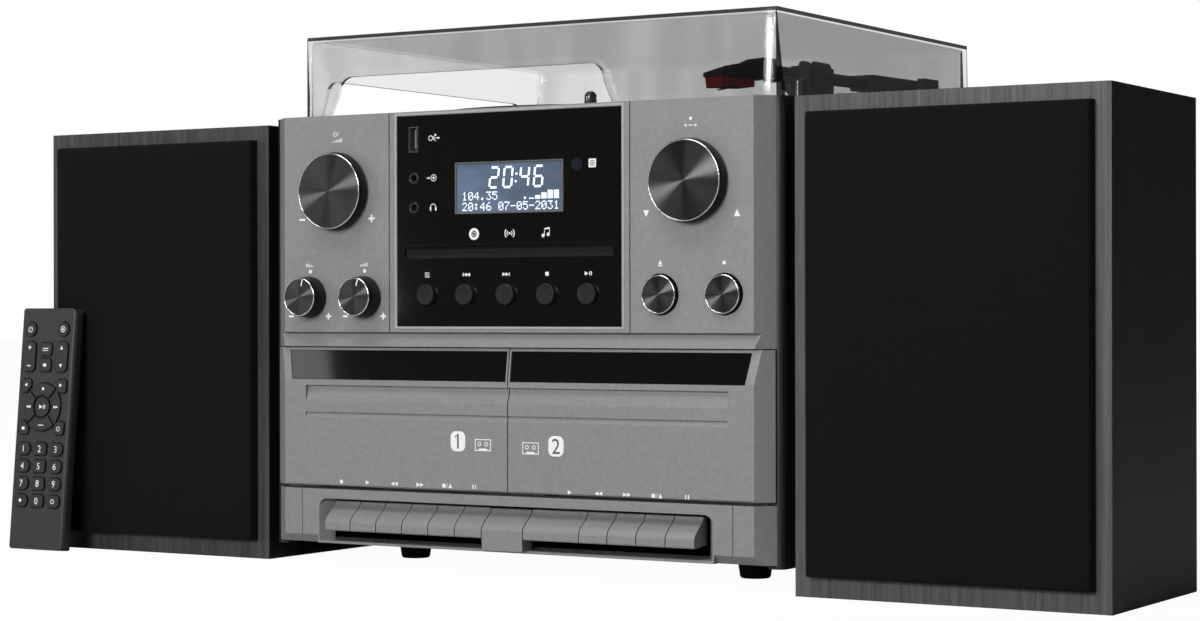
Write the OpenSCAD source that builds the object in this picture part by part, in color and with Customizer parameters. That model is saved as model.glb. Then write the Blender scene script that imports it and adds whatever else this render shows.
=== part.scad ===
// Stereo music centre: main unit, two free-standing speakers and a remote.
// X runs to the right, Y to the back, Z up. Lengths in millimetres, angles in degrees.

/* [Main unit] */
// Width of the cabinet
cab_w = 326; // [320:1:330]
// Depth from the flat front face to the rear panel
unit_d = 283; // [280:1:300]
// Height of the deck plate's top face
deck_z = 252; // [250:1:254]
// Width of the flat part of the front panel
face_w = 300.4; // [298:0.2:302]
// Width of the front panel over its side bevels
bevel_w = 319; // [316:1:320]
// Depth of the side bevels
bevel_d = 7.9; // [7:0.1:8.5]
// Height of the rubber feet
foot_h = 10; // [9:0.5:11]

/* [Controls] */
// Radius of the volume and select knobs
big_knob_r = 22.5; // [20:0.5:23]
// Radius of the bass and treble knobs
tone_knob_r = 11.5; // [10:0.5:12]
// Radius of the eject and record buttons
push_r = 10.5; // [9:0.5:11]
// Radius of the five round panel buttons
dot_r = 5.75; // [5:0.25:6]
// Pitch of the piano keys
key_pitch = 17.55; // [17:0.05:17.6]

/* [Record player] */
// Radius of the platter
platter_r = 98; // [90:1:99]
// Radius of the record spindle
spindle_r = 3.58; // [3.5:0.01:3.6]
// Height of the dust cover above the deck
cover_h = 47.5; // [46:0.5:55]
// Wall of the dust cover
cover_t = 2.5; // [2:0.1:3]

/* [Speakers and remote] */
// Width of a speaker
spk_w = 165; // [160:1:166]
// Depth of a speaker case
spk_d = 121; // [110:1:130]
// Height of a speaker
spk_h = 249; // [245:1:255]
// Width of the remote
rc_w = 43; // [42:1:46]
// Length of the remote
rc_l = 144; // [140:1:146]
// Thickness of the remote
rc_t = 10; // [9:0.5:12]

/* [Hidden] */
$fn = 48;
eps = 0.01;
// Place of the main unit's front centre in the frame of the whole set
set_x = -2.3;
set_y = -134.5;

// Cabinet
cab_x = cab_w / 2;
cab_y = 8;
cab_z = foot_h;
cab_wall = 9;
deck_t = 4;
edge_r = 4;
// Front panel
face_t = 3;
lip_z = 130;
rail_z = 122.5;
rail_rise = 2.5;
door_top = 122;
door_low = 44.2;
key_top = 42.4;
fascia_z = foot_h + 2;
// Panel window of the front and what sits in it
panel_x = 73.5;
panel_low = 132.4;
panel_high = 251;
lcd = [-33.5, 195, 36, 223];
slot_z = [171.1, 176.5];
slot_x = 67;
usb = [-64.7, 229.7, -58.3, 243.7];
jack_x = -60.7;
jack_z = [215.2, 199];
jack_r = 1.8;
dot_z = 151.2;
dot_x = [-51.9, -26.3, 0, 25.8, 51.5];
// Knobs and push buttons
volume_at = [-113.4, 209.3];
select_at = [113.7, 209.3];
bass_at = [-132.4, 150.2];
treble_at = [-94.6, 150.2];
eject_at = [95.5, 150.6];
record_at = [133.2, 150.6];
shaft_r = 3;
run = 0.05;
// Doors
door_gap = 0.3;
door_mid = 0.5;
hinge_y = 5.4;
hinge_z = 46;
door_t = 2.4;
pin_r = 1;
tape = [101.5, 13, 64.5];
pocket_x = 75;
// Keys
key_lip_y = -4;
key_top_y = 6;
key_high = 35.5;
key_mid = 24;
key_low = 19.5;
key_wall = 2.6;
key_axle_y = 45;
key_axle_z = 30;
axle_r = 1.5;
left_key_x = -119.3;
right_key_x = 12.5;
// Record player
spin = [-38, 150];
well_r = platter_r + 3;
well_floor = 240;
platter_top = 256;
mat_t = 1.7;
spindle_top = 272.5;
boss_r = 9;
boss_z = 246;
sub_r = 60;
pulley_at = [20, 85];
pulley_r = 5;
arm_at = [132, 235];
arm_z = 271.4;
arm_tilt = 4.2;
tube_r = 3.4;
shell_turn = 25;
head_at = [120, 59.3];
rest_y = 86;
cue_at = [136, 79];
cue_pivot = [146.5, 91, deck_z + 3.6];
// Dust cover
cover_x = 154.5;
cover_lean = 2.8;
cover_y = [20.8, 272.5];
cover_low = deck_z + 0.4;
cover_top = deck_z + cover_h;
hood_y = 277.2;
hood_z = 258;
ear_x = 140;
// Speakers and remote
right_at = [182.1, -16.5];
left_at = [-333, 8];
board_t = 9;
grille_t = 6.5;
woofer_z = 96;
peg_r = 3;
rc_lean = 5.4;
rc_foot = [-321, -17.3];
ring_z = 84.9;

// Places a child in the frame of the whole set.
module place() {
    translate([set_x, set_y, 0]) children();
}

// Box from a low corner to a high corner.
module block(a, b) {
    translate(a) cube([b[0] - a[0], b[1] - a[1], b[2] - a[2]]);
}

// Rectangle with round corners, from a low corner to a high corner.
module round_rect(a, b, r) {
    translate([a[0] + r, a[1]]) square([b[0] - a[0] - 2 * r, b[1] - a[1]]);
    translate([a[0], a[1] + r]) square([b[0] - a[0], b[1] - a[1] - 2 * r]);
    for (x = [a[0] + r, b[0] - r], y = [a[1] + r, b[1] - r]) translate([x, y]) circle(r);
}

// Prism along Y of an outline in X and Z, from y0 to y1.
module along_y(y0, y1) {
    translate([0, y1, 0]) rotate([90, 0, 0]) linear_extrude(y1 - y0) children();
}

// Prism along X of an outline in Y and Z, from x0 to x1.
module along_x(x0, x1) {
    translate([x0, 0, 0]) rotate([90, 0, 90]) linear_extrude(x1 - x0) children();
}

// Prism along Z of an outline in X and Y, from z0 to z1.
module along_z(z0, z1) {
    translate([0, 0, z0]) linear_extrude(z1 - z0) children();
}

// Rod along Y at a place in X and Z.
module rod_y(at, y0, y1, r) {
    translate([at[0], y1, at[1]]) rotate([90, 0, 0]) cylinder(h = y1 - y0, r = r);
}

// Rod along X at a place in Y and Z.
module rod_x(at, x0, x1, r) {
    translate([x0, at[0], at[1]]) rotate([0, 90, 0]) cylinder(h = x1 - x0, r = r);
}

// Plan of the front, with its side bevels, drawn in by a wall.
module front_plan(inset, back) {
    polygon([[-face_w / 2 + inset, inset], [face_w / 2 - inset, inset],
        [bevel_w / 2 - inset, bevel_d], [bevel_w / 2 - inset, back],
        [-bevel_w / 2 + inset, back], [-bevel_w / 2 + inset, bevel_d]]);
}

// Plan of the main unit behind its front: round front corners, square rear ones.
module unit_plan() {
    round_rect([-cab_x, cab_y], [cab_x, cab_y + 40], edge_r);
    translate([-cab_x, cab_y + 20]) square([cab_w, unit_d - cab_y - 20]);
}

// ---- Main unit, outside

module cabinet() {
    color("#17171a") difference() {
        along_z(cab_z, deck_z - deck_t) unit_plan();
        block([-cab_x + cab_wall, cab_y - eps, cab_z + 5], [cab_x - cab_wall, unit_d + eps, deck_z]);
        block([-cab_x + cab_wall, cab_y - eps, cab_z - 1], [cab_x - cab_wall, unit_d + eps, cab_z + 2.6]);
    }
}

// Side view of the front: flush above, a rail and door tops that lean back, flush below.
module front_side() {
    polygon([[0, fascia_z], [0, rail_z], [rail_rise, lip_z], [0, lip_z + 0.6], [0, deck_z],
        [cab_y, deck_z], [cab_y, fascia_z]]);
}

module fascia() {
    color("#8b8c90") difference() {
        union() {
            difference() {
                intersection() {
                    along_z(fascia_z, deck_z) front_plan(0, cab_y);
                    along_x(-cab_x, cab_x) front_side();
                }
                block([-151, face_t, lip_z + 3], [151, 9, deck_z - 2.5]);
                block([-150, face_t + rail_rise, rail_z + 1.6], [150, 9, lip_z + 4]);
                block([-150, face_t, fascia_z + 1.5], [150, 9, key_top - 2.5]);
                block([-cab_x, -1, key_top], [cab_x, 9, rail_z]);
            }
            door_frame();
            key_filler();
            for (s = [-1, 1]) recess_cheek(s);
        }
        front_holes();
        key_recess();
        front_grooves();
    }
}

// Wall inside the cabinet that ties the upper and lower front together round the door pockets.
module door_frame() {
    difference() {
        block([-153.5, cab_y, 16], [153.5, cab_y + 2.5, 247.5]);
        for (s = [-1, 1]) {
            block([s * pocket_x - 56, 0, 43], [s * pocket_x + 56, 20, 126]);
        }
        block([-146, 0, lip_z + 4], [146, 20, 244.5]);
        block([-127, 0, 15], [127, 20, 39]);
    }
    for (s = [-1, 1], x = [s > 0 ? 4 : -6.5, s > 0 ? 146.4 : -149.2]) hinge_ear(x);
}

// Ear behind the door's foot that takes a hinge pin.
module hinge_ear(x) {
    difference() {
        block([x, hinge_y - 1.8, hinge_z - 1.9], [x + 2.8, cab_y + 1, hinge_z + 2.4]);
        rod_x([hinge_y, hinge_z], x - 1, x + 4, pin_r + 0.12);
    }
}

// Fixed face between the two sets of keys, cast with the front.
module key_filler() {
    along_x(-14 + 0.3, right_key_x - 0.3) polygon([for (p = key_face()) p,
        [key_lip_y, key_low], [key_lip_y, fascia_z + 1], [key_top_y, fascia_z + 1]]);
}

// Slanted end wall of the key recess.
module recess_cheek(s) {
    along_z(fascia_z + 1.5, key_top - 4) polygon([[s * 126, 0.2], [s * 120.6, face_t + 5],
        [s * 128, face_t + 5]]);
}

module key_recess() {
    difference() {
        along_y(-5, 9) {
            round_rect([-126, 20], [126, 37], 5);
            translate([-126, fascia_z + 1.5]) square([252, 20]);
        }
        key_filler();
        for (s = [-1, 1]) recess_cheek(s);
        block([-14 + 0.3, key_top_y, fascia_z], [right_key_x - 0.3, 10, 40]);
    }
}

module front_holes() {
    block([-panel_x - 0.2, -1, panel_low - 0.2], [panel_x + 0.2, 9, panel_high + 0.2]);
    for (p = [volume_at, select_at, bass_at, treble_at]) rod_y(p, -1, 12, shaft_r + 0.5);
    for (p = [eject_at, record_at]) rod_y(p, -1, 12, push_r + 0.4);
}

// Seams that run round the front, the bevelled foot and the small step near each end.
module front_grooves() {
    block([-cab_x, -1, lip_z - 0.4], [cab_x, 0.6 + rail_rise, lip_z + 0.4]);
    for (s = [-1, 1]) {
        block([s * 77.3 - 0.4, -1, lip_z], [s * 77.3 + 0.4, 0.8, deck_z + 1]);
        block([s * 138 - 0.3, -1, fascia_z], [s * 138 + 0.3, 0.4, key_top + 1]);
        x0 = s > 0 ? 127 : -cab_x;
        x1 = s > 0 ? cab_x : -127;
        along_x(x0, x1) polygon([[-1, fascia_z - 1], [-1, fascia_z + 4.5], [0, fascia_z + 4.5],
            [5.5, fascia_z - 1]]);
    }
}

module display_panel() {
    color("#0b0b0d") difference() {
        block([-panel_x, 0.2, panel_low], [panel_x, face_t + 1, panel_high]);
        block([lcd[0], -1, lcd[1]], [lcd[2], 9, lcd[3]]);
        block([-slot_x, -1, slot_z[0]], [slot_x, 9, slot_z[1]]);
        block([-slot_x - 1, -1, slot_z[1] + 1.3], [slot_x + 1, 0.6, slot_z[1] + 2]);
        block([usb[0] - 0.3, -1, usb[1] - 0.3], [usb[2] + 0.3, 9, usb[3] + 0.3]);
        for (z = jack_z) rod_y([jack_x, z], -1, 9, 3.2);
        for (x = dot_x) rod_y([x, dot_z], -1, 9, dot_r + 0.3);
    }
}

module display_module() {
    color("#7d93b5") union() {
        block([lcd[0] + 0.1, 0.9, lcd[1] + 0.1], [lcd[2] - 0.1, 4, lcd[3] - 0.1]);
        block([lcd[0] - 3, 4.05, lcd[1] - 4], [lcd[2] + 3, 8, lcd[3] + 4]);
    }
}

module deck_plate() {
    color("#1b1b1e") difference() {
        union() {
            along_z(deck_z - deck_t, deck_z) unit_plan();
            translate([spin[0], spin[1], well_floor - 2]) cylinder(h = deck_z - well_floor, r = well_r + 2);
            translate([spin[0], spin[1], well_floor - 20]) cylinder(h = 24, r = 8);
            for (s = [-1, 1], x = [-11, 8]) hood_lug(s * ear_x + x);
            for (s = [-1, 1]) translate([cue_pivot[0] + s * 2.65, cue_pivot[1], deck_z - 1])
                block([-0.75, -2.4, 0], [0.75, 2.4, cue_pivot[2] - deck_z + 3]);
        }
        translate([spin[0], spin[1], well_floor]) difference() {
            cylinder(h = 20, r = well_r);
            translate([0, 0, -1]) cylinder(h = 5, r = 8);
        }
        translate([spin[0], spin[1], well_floor - 19]) cylinder(h = 30, r = spindle_r + run);
        translate([pulley_at[0], pulley_at[1], well_floor - 5]) cylinder(h = 20, r = 9);
        block([90, 250, deck_z - 5], [110, 254, deck_z + 1]);
        for (s = [-1, 1], x = [-11, 8]) {
            rod_x([hood_y, hood_z], s * ear_x + x - 1, s * ear_x + x + 4, 2 + run);
        }
        rod_x([cue_pivot[1], cue_pivot[2]], 140, 152, 1 + run);
        translate([cue_at[0], cue_at[1], deck_z - 5]) cylinder(h = 6, r = 2 + run);
    }
}

// One of the upright lugs that carry the dust cover's hinge pins.
module hood_lug(x) {
    along_x(x, x + 3) {
        translate([hood_y, hood_z]) circle(4);
        translate([hood_y - 4, deck_z - 1]) square([8, hood_z - deck_z + 1]);
    }
}

module rear_panel() {
    color("#202023") difference() {
        block([-cab_x + cab_wall + 0.2, unit_d - 3, cab_z + 5.2], [cab_x - cab_wall - 0.2, unit_d, deck_z - deck_t - 0.2]);
        block([-120.2, unit_d - 4, 89.8], [20.2, unit_d + 1, 130.2]);
        for (i = [0:13]) block([50 + 6 * i, unit_d - 4, 150], [53 + 6 * i, unit_d + 1, 210]);
    }
}

rca_x = [-106, -92, -70, -56];

module rear_sockets() {
    color("#2a2a2d") difference() {
        union() {
            block([-120, unit_d - 2.5, 90], [20, unit_d - 0.5, 130]);
            for (x = rca_x, z = [100, 119]) if (z < 110 || x < -80) rod_y([x, z], unit_d - 1, unit_d + 8, 4.15);
            rod_y([-28, 110], unit_d - 1, unit_d + 9, 4.75);
            block([-4, unit_d - 20, 101], [14, unit_d - 1, 119]);
        }
        for (x = rca_x, z = [100, 119]) if (z < 110 || x < -80) rod_y([x, z], unit_d - 2, unit_d + 9, 1.65);
        rod_y([-28, 110], unit_d - 2, unit_d + 10, 1.2);
        block([-0.5, unit_d - 17, 105.5], [10.5, unit_d, 114.5]);
    }
}

foot_at = [[-102, 60], [122, 55], [-112, 240], [112, 240]];

module feet() {
    color("#2c2d30") for (p = foot_at) {
        translate([p[0], p[1], 0]) rotate_extrude()
            polygon([[0, 0], [7.4, 0], [8.2, 0.8], [9.6, cab_z], [9.6, cab_z + 2.6], [0, cab_z + 2.6]]);
    }
}

// ---- Main unit, inside

// Boards with the sockets, the tone controls and the switches behind the front.
module circuit_boards() {
    color("#2f6b3a") difference() {
        union() {
            block([-145, 20, 141], [-80, 21.6, 240]);
            block([-70, 20, 188], [-40, 21.6, 246]);
            block([80, 20, 141], [145, 21.6, 240]);
            block([-60, 20, 145], [60, 21.6, 158]);
            block([20, 140, 60], [140, 141.6, 150]);
            for (p = [bass_at, treble_at]) rod_y(p, 11.5, 20, 8);
            for (p = [volume_at, select_at]) rod_y(p, 17, 20, 7);
            for (z = jack_z) rod_y([jack_x, z], 0.6, 20, 3);
            block([usb[0], 1, usb[1]], [usb[2], 20, usb[3]]);
            for (x = dot_x) block([x - 3, 11.5, dot_z - 3], [x + 3, 20, dot_z + 3]);
            for (p = [eject_at, record_at]) block([p[0] - 3, 11.8, p[1] - 3], [p[0] + 3, 20, p[1] + 3]);
        }
        for (p = [bass_at, treble_at]) rod_y(p, 11, 19, shaft_r + run);
        for (z = jack_z) rod_y([jack_x, z], 0, 15, jack_r);
        block([usb[0] + 0.6, 0, usb[1] + 0.6], [usb[2] - 0.6, 16, usb[3] - 0.6]);
    }
}

module power_transformer() {
    color("#5b4a36") union() {
        block([70, 175, cab_z + 5], [130, 225, cab_z + 9]);
        block([76, 180, cab_z + 8], [124, 220, cab_z + 56]);
        block([84, 172, cab_z + 17], [116, 228, cab_z + 47]);
    }
}

// Slot-in disc drive: a tray with a roof, open at the front.
module disc_drive() {
    color("#9a9ca0") difference() {
        union() {
            block([-72, 22, 162], [72, 180, 184]);
            block([-69, 4.05, 168.5], [69, 22, 179]);
        }
        block([-67, 0, 171.1], [67, 160, 176.5]);
    }
}

// Two tape mechanisms with heads, capstans and hubs, and the axle that the keys turn on.
module tape_transports() {
    color("#77797d") {
        for (s = [-1, 1]) translate([s * pocket_x, 0, 0]) {
            difference() {
                union() {
                    block([-58, 27, 40], [58, 29, 118]);
                    for (x = [-21.25, 21.25]) rod_y([x, 84], 19.5, 28, 3.4);
                    rod_y([-24, 59], 19.5, 28, 1.2);
                    block([-7, 19.5, 54.5], [7, 27.5, 62]);
                    block([-50, 28.5, 46], [50, 60, 110]);
                    block([-60, 28.5, 26], [-56, 50, 50]);
                    block([56, 28.5, 26], [60, 50, 50]);
                }
                block([-48, 31, 36], [48, 58, 52]);
                rod_x([key_axle_y, key_axle_z], -65, 65, axle_r + run);
            }
        }
        rod_x([key_axle_y, key_axle_z], -136, 136, axle_r);
    }
}

module drive_motor() {
    color("#a9abae") translate([pulley_at[0], pulley_at[1], 0]) {
        translate([0, 0, 205]) cylinder(h = 31, r = 16);
        translate([0, 0, 235]) cylinder(h = 16, r = 1.5);
        translate([0, 0, 244]) cylinder(h = 7, r = pulley_r);
    }
}

// Loop round the pulley and the hub rim of the platter.
module belt_line(grow) {
    hull() {
        translate(spin) circle(sub_r + 0.3 + grow);
        translate(pulley_at) circle(pulley_r + 0.1 + grow);
    }
}

module drive_belt() {
    color("#141414") along_z(245.5, 249.5) difference() {
        belt_line(0.8);
        belt_line(0);
    }
}

// ---- Record player

module platter() {
    color("#55575b") translate([spin[0], spin[1], 0]) {
        difference() {
            union() {
                translate([0, 0, 250.5]) cylinder(h = platter_top - 250.5, r = platter_r);
                translate([0, 0, 244.5]) cylinder(h = 8, r = sub_r);
            }
            difference() {
                translate([0, 0, 249.5]) cylinder(h = 4, r = platter_r - 3);
                translate([0, 0, 249]) cylinder(h = 5, r = sub_r);
            }
            translate([0, 0, 244]) cylinder(h = 8.5, r = sub_r - 3);
        }
        translate([0, 0, boss_z]) cylinder(h = platter_top + mat_t - boss_z, r = boss_r);
        translate([0, 0, 222]) cylinder(h = spindle_top - 222 - 2, r = spindle_r);
        translate([0, 0, spindle_top - 2 - eps]) cylinder(h = 2, r1 = spindle_r, r2 = 1.8);
    }
}

module slip_mat() {
    color("#232325") translate([spin[0], spin[1], platter_top]) difference() {
        cylinder(h = mat_t, r = platter_r - 1);
        translate([0, 0, -1]) cylinder(h = 4, r = boss_r + 0.4);
    }
}

// Pivot post and arm rest, both screwed to the deck.
module tonearm_base() {
    color("#141416") {
        translate([arm_at[0], arm_at[1], deck_z]) difference() {
            union() {
                cylinder(h = 3, r = 17);
                cylinder(h = 8, r = 13.5);
            }
            translate([0, 0, 1]) cylinder(h = 8, r = 4 + run);
        }
        difference() {
            union() {
                block([122, rest_y, deck_z], [139.5, rest_y + 29, arm_z - tube_r - 0.4]);
                block([128, rest_y, deck_z], [139.5, rest_y + 29, arm_z + 3]);
                rod_y([135, arm_z + 3], rest_y, rest_y + 5, 2.6);
                rod_y([135, arm_z + 3.6], rest_y + 14, rest_y + 29, 2.8);
            }
            rod_y([116, deck_z - 1], rest_y - 1, rest_y + 40, 13);
        }
    }
}

module tonearm_yoke() {
    color("#141416") translate([arm_at[0], arm_at[1], 0]) rotate([0, 0, -arm_tilt]) {
        translate([0, 0, deck_z + 2]) cylinder(h = 8, r = 4);
        translate([0, 0, deck_z + 8.4]) cylinder(h = 3, r = 13);
        for (s = [-1, 1]) difference() {
            block([s * 10.5 - 2.2, -9, deck_z + 10], [s * 10.5 + 2.2, 9, arm_z + 6]);
            rod_x([0, arm_z], -14, 14, 1.2 + run);
        }
    }
}

// Tonearm: tail block, tube and headshell, lying along the line from the pivot to the head.
module tonearm() {
    color("#111113") {
        translate([arm_at[0], arm_at[1], arm_z]) rotate([0, 0, -arm_tilt]) {
            rod_x([0, 0], -11.5, 11.5, 1.2);
            block([-7.5, -60, -3.8], [7.5, 16, 4.8]);
            rod_y([0, 0], -176.2, -59, tube_r);
        }
        translate([head_at[0], head_at[1], arm_z]) rotate([0, 0, -shell_turn]) difference() {
            along_x(-8.5, 8.5) polygon([[8, -tube_r], [8, 5], [1, 5.6], [-4, 3.4], [-14, 1.5],
                [-28, -3], [-28, -5.4], [0, -6.6], [4, -5]]);
            for (x = [-4.2, 4.2]) block([x - 1, -24, -8], [x + 1, -13, 8]);
        }
    }
}

// Cartridge under the headshell, with its stylus lever.
module cartridge() {
    color("#8c1f2b") translate([head_at[0], head_at[1], arm_z]) rotate([0, 0, -shell_turn]) {
        along_x(-7.6, 7.6) polygon([[-27.5, -5.5], [-6, -6.5], [-6, -10.6], [-26.5, -11.2]]);
        along_x(-0.5, 0.5) polygon([[-14, -10.8], [-24.5, -12.9], [-24.5, -12.2], [-14, -10]]);
    }
}

module cue_lift() {
    color("#b9bbbe") {
        translate([cue_at[0], cue_at[1], deck_z - 3]) cylinder(h = 17, r = 2);
        block([cue_at[0] - 20, cue_at[1] - 2, deck_z + 13.5], [cue_at[0] + 3, cue_at[1] + 2, deck_z + 15.5]);
    }
}

// Small lever that turns on a cross pin beside the arm rest.
module cue_lever() {
    color("#18181a") translate(cue_pivot) {
        rod_x([0, 0], -1.6, 1.6, 3.2);
        rod_x([0, 0], -3.3, 3.3, 1);
        block([-1.6, 0, -1.6], [1.6, 22, 1.6]);
        rod_y([0, 0], 18, 26, 2.4);
    }
}

module speed_switch() {
    color("#c9cacc") {
        block([90.6, 250.5, deck_z - 3], [97.4, 253.5, deck_z + 0.6]);
        block([90.6, 249.5, deck_z + 0.5], [97.4, 254.5, deck_z + 4]);
    }
}

// ---- Dust cover

// Hood of the cover, drawn in by a wall.
module hood(inset, low) {
    intersection() {
        along_y(cover_y[0] + inset, cover_y[1] - inset) polygon([[-cover_x + inset, low],
            [cover_x - inset, low], [cover_x - cover_lean - inset, cover_top - inset],
            [-cover_x + cover_lean + inset, cover_top - inset]]);
        along_x(-cover_x, cover_x) polygon([[cover_y[0] + inset, low], [cover_y[1] - inset, low],
            [cover_y[1] - inset, cover_top - inset - 1.5], [cover_y[1] - inset - 1.5, cover_top - inset],
            [cover_y[0] + inset + 2.9, cover_top - inset], [cover_y[0] + inset + 1.5, cover_top - inset - 1.5]]);
        along_z(low, cover_top) round_rect([-cover_x + inset, cover_y[0] + inset],
            [cover_x - inset, cover_y[1] - inset], 9 - inset);
    }
}

// Arch cut in a wall: straight foot, round shoulders.
module arch(x0, x1, top, flare) {
    r = 9;
    polygon([[x0 - flare, deck_z - 1], [x1 + flare, deck_z - 1],
        for (a = [0:15:90]) [x1 - r + r * cos(a), top - r + r * sin(a)],
        for (a = [90:15:180]) [x0 + r + r * cos(a), top - r + r * sin(a)]]);
}

module dust_cover() {
    color("#6d7075", 0.4) difference() {
        union() {
            difference() {
                hood(0, cover_low);
                hood(cover_t, cover_low - 1);
            }
            for (s = [-1, 1]) hood_ear(s * ear_x);
        }
        along_y(cover_y[0] - 5, cover_y[0] + 12) arch(-128, 48, 275.6, 7);
        along_y(cover_y[1] - 12, cover_y[1] + 1) arch(-127, 52, 275.6, 7);
        along_x(-cover_x - 5, -cover_x + 12) arch(43, 249, 276, 5);
    }
}

// Ear on the rear wall with the pins that turn in the deck's lugs.
module hood_ear(x) {
    block([x - 7.6, cover_y[1] - 1, hood_z - 3], [x + 7.6, hood_y + 2.5, hood_z + 3]);
    rod_x([hood_y, hood_z], x - 10.8, x + 10.8, 2);
}

// ---- Knobs and buttons

// Knob with a shaft: a drum with a chamfered, slightly dished face.
module knob(at, r, gap, out, shaft_end) {
    translate([at[0], 0, at[1]]) rotate([90, 0, 0]) difference() {
        union() {
            rotate_extrude($fn = 96) polygon([[0, gap], [r, gap], [r, out - 1.4], [r - 1.3, out],
                [r - 1.6, out - 0.25], [0, out - 0.25]]);
            translate([0, 0, -shaft_end]) cylinder(h = shaft_end + 1, r = shaft_r);
        }
        translate([0, 0, -0.5]) difference() {
            cylinder(h = out - 2.4, r = r - 2);
            cylinder(h = out, r = shaft_r + 2);
        }
    }
}

module volume_knob() {
    color("#1a1a1c") knob(volume_at, big_knob_r, 1.6, 7, 14);
}

module select_knob() {
    color("#1a1a1c") knob(select_at, big_knob_r, 1.6, 7, 14);
}

module bass_knob() {
    color("#1a1a1c") knob(bass_at, tone_knob_r, 0.6, 11, 18);
}

module treble_knob() {
    color("#1a1a1c") knob(treble_at, tone_knob_r, 0.6, 11, 18);
}

// Collar that slides with a pressed knob and lets its shaft turn.
module plunger(at) {
    difference() {
        union() {
            rod_y(at, 4, 13, 6);
            rod_y(at, 12.5, 15.5, 4.5);
        }
        rod_y(at, 3, 14.4, shaft_r + run);
    }
}

module volume_plunger() {
    color("#b6b7ba") plunger(volume_at);
}

module select_plunger() {
    color("#b6b7ba") plunger(select_at);
}

// Push button with a flange behind the panel.
module push(at, r, out, flange_y) {
    translate([at[0], 0, at[1]]) rotate([90, 0, 0]) rotate_extrude($fn = 64)
        polygon([[0, -flange_y - 3], [r + 1.4, -flange_y - 3], [r + 1.4, -flange_y], [r, -flange_y],
            [r, out - 0.8], [r - 0.8, out], [0, out]]);
}

module eject_button() {
    color("#1a1a1c") push(eject_at, push_r, 2.8, 3.4);
}

module record_button() {
    color("#1a1a1c") push(record_at, push_r, 2.8, 3.4);
}

module dot_button(i) {
    color("#161618") push([dot_x[i], dot_z], dot_r, 2.5, 4.4);
}

// ---- Cassette doors

// Side view of a door: flush face and a top that leans back.
module door_side() {
    polygon([[0, door_low + 0.8], [0.8, door_low], [cab_y, door_low], [cab_y, door_top],
        [rail_rise, door_top], [0, 104]]);
}

// Hand groove and thin groove, sharp above and running out below.
module hand_grooves() {
    along_x(-135.4, 135.4) {
        polygon([[-1, 100.7], [2, 100.5], [1.9, 98], [1.2, 95], [0, 92], [-1, 92]]);
        polygon([[-1, 85.5], [1, 85.4], [0, 82.5], [-1, 82.5]]);
    }
}

// Plan of one door, s = -1 left and 1 right, drawn in by a wall.
module door_plan(s, inset) {
    mid = door_mid + s * door_gap + s * inset;
    polygon([[mid, inset], [s * (face_w / 2 - inset), inset],
        [s * (bevel_w / 2 - 0.2 - inset), bevel_d - 0.9], [mid, bevel_d - 0.9 + inset]]);
}

// Outline of a door's window, grown by a rim.
module window_shape(s, grow) {
    mid = door_mid + s * 1.3;
    polygon([[mid - s * grow, 103.9 - grow], [s * (145 + grow), 103.9 - grow],
        [s * (148.2 + grow), 120.4 + grow], [mid - s * grow, 120.4 + grow]]);
}

module door(s) {
    x0 = s > 0 ? 0 : -cab_x;
    x1 = s > 0 ? cab_x : 0.5;
    difference() {
        union() {
            difference() {
                intersection() {
                    along_z(door_low, door_top) door_plan(s, 0);
                    along_x(x0, x1) door_side();
                }
                intersection() {
                    along_z(door_low - 1, door_top - 1.6) door_plan(s, door_t);
                    along_x(x0, x1) polygon([[door_t, 0], [door_t, 90], [door_t + 2, 92],
                        [door_t + 2, 101], [door_t + 2.6, door_top], [cab_y, door_top], [cab_y, 0]]);
                }
            }
            holder(s * pocket_x);
            for (e = pin_places(s)) rod_x([hinge_y, hinge_z], e[0], e[1], pin_r);
            for (e = pin_places(s)) block([e[2], 2, door_low + 0.4], [e[2] + 3, hinge_y + 1.4, hinge_z + 3]);
        }
        along_y(-1, 3.1) window_shape(s, 0);
        hand_grooves();
    }
}

// Hinge pins of a door: start, end and lug place along X.
function pin_places(s) = s > 0
    ? [[4.4, 9, 7.2], [143.2, 148.8, 143]]
    : [[-8.6, -4.1, -9.8], [-148.8, -143.2, -146]];

// Pocket behind the door that holds a cassette.
module holder(x) {
    w = tape[0] / 2;
    difference() {
        block([x - w - 1.6, 3, hinge_z + 4], [x + w + 1.6, 5 + tape[1] + 1.4, 110]);
        block([x - w, 5, hinge_z + 5.6], [x + w, 5 + tape[1], 111]);
        block([x - w + 6, 10, hinge_z + 3], [x + w - 6, 25, 111]);
        block([x - w - 3, hinge_y + 8.5, hinge_z + 3], [x + w + 3, 25, hinge_z + 6]);
    }
}

module deck_1_door() {
    color("#8b8c90") door(-1);
}

module deck_2_door() {
    color("#8b8c90") door(1);
}

module door_window(s) {
    intersection() {
        along_y(-1, 3) window_shape(s, -0.1);
        along_x(-cab_x, cab_x) polygon([[0.35, 103], [rail_rise + 0.35, 121.4], [rail_rise + 0.4, 122],
            [3, 122], [3, 121], [3, 103]]);
    }
}

module deck_1_window() {
    color("#0d0d10") door_window(-1);
}

module deck_2_window() {
    color("#0d0d10") door_window(1);
}

// ---- Piano keys

// Front line of a key in Y and Z, from its top edge down to its lip: a smooth S.
function key_face() = [for (i = [0:10]) let (t = i / 10)
    [key_top_y + (key_lip_y - key_top_y) * (1 - cos(180 * t)) / 2, key_high + (key_mid - key_high) * t]];

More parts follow.
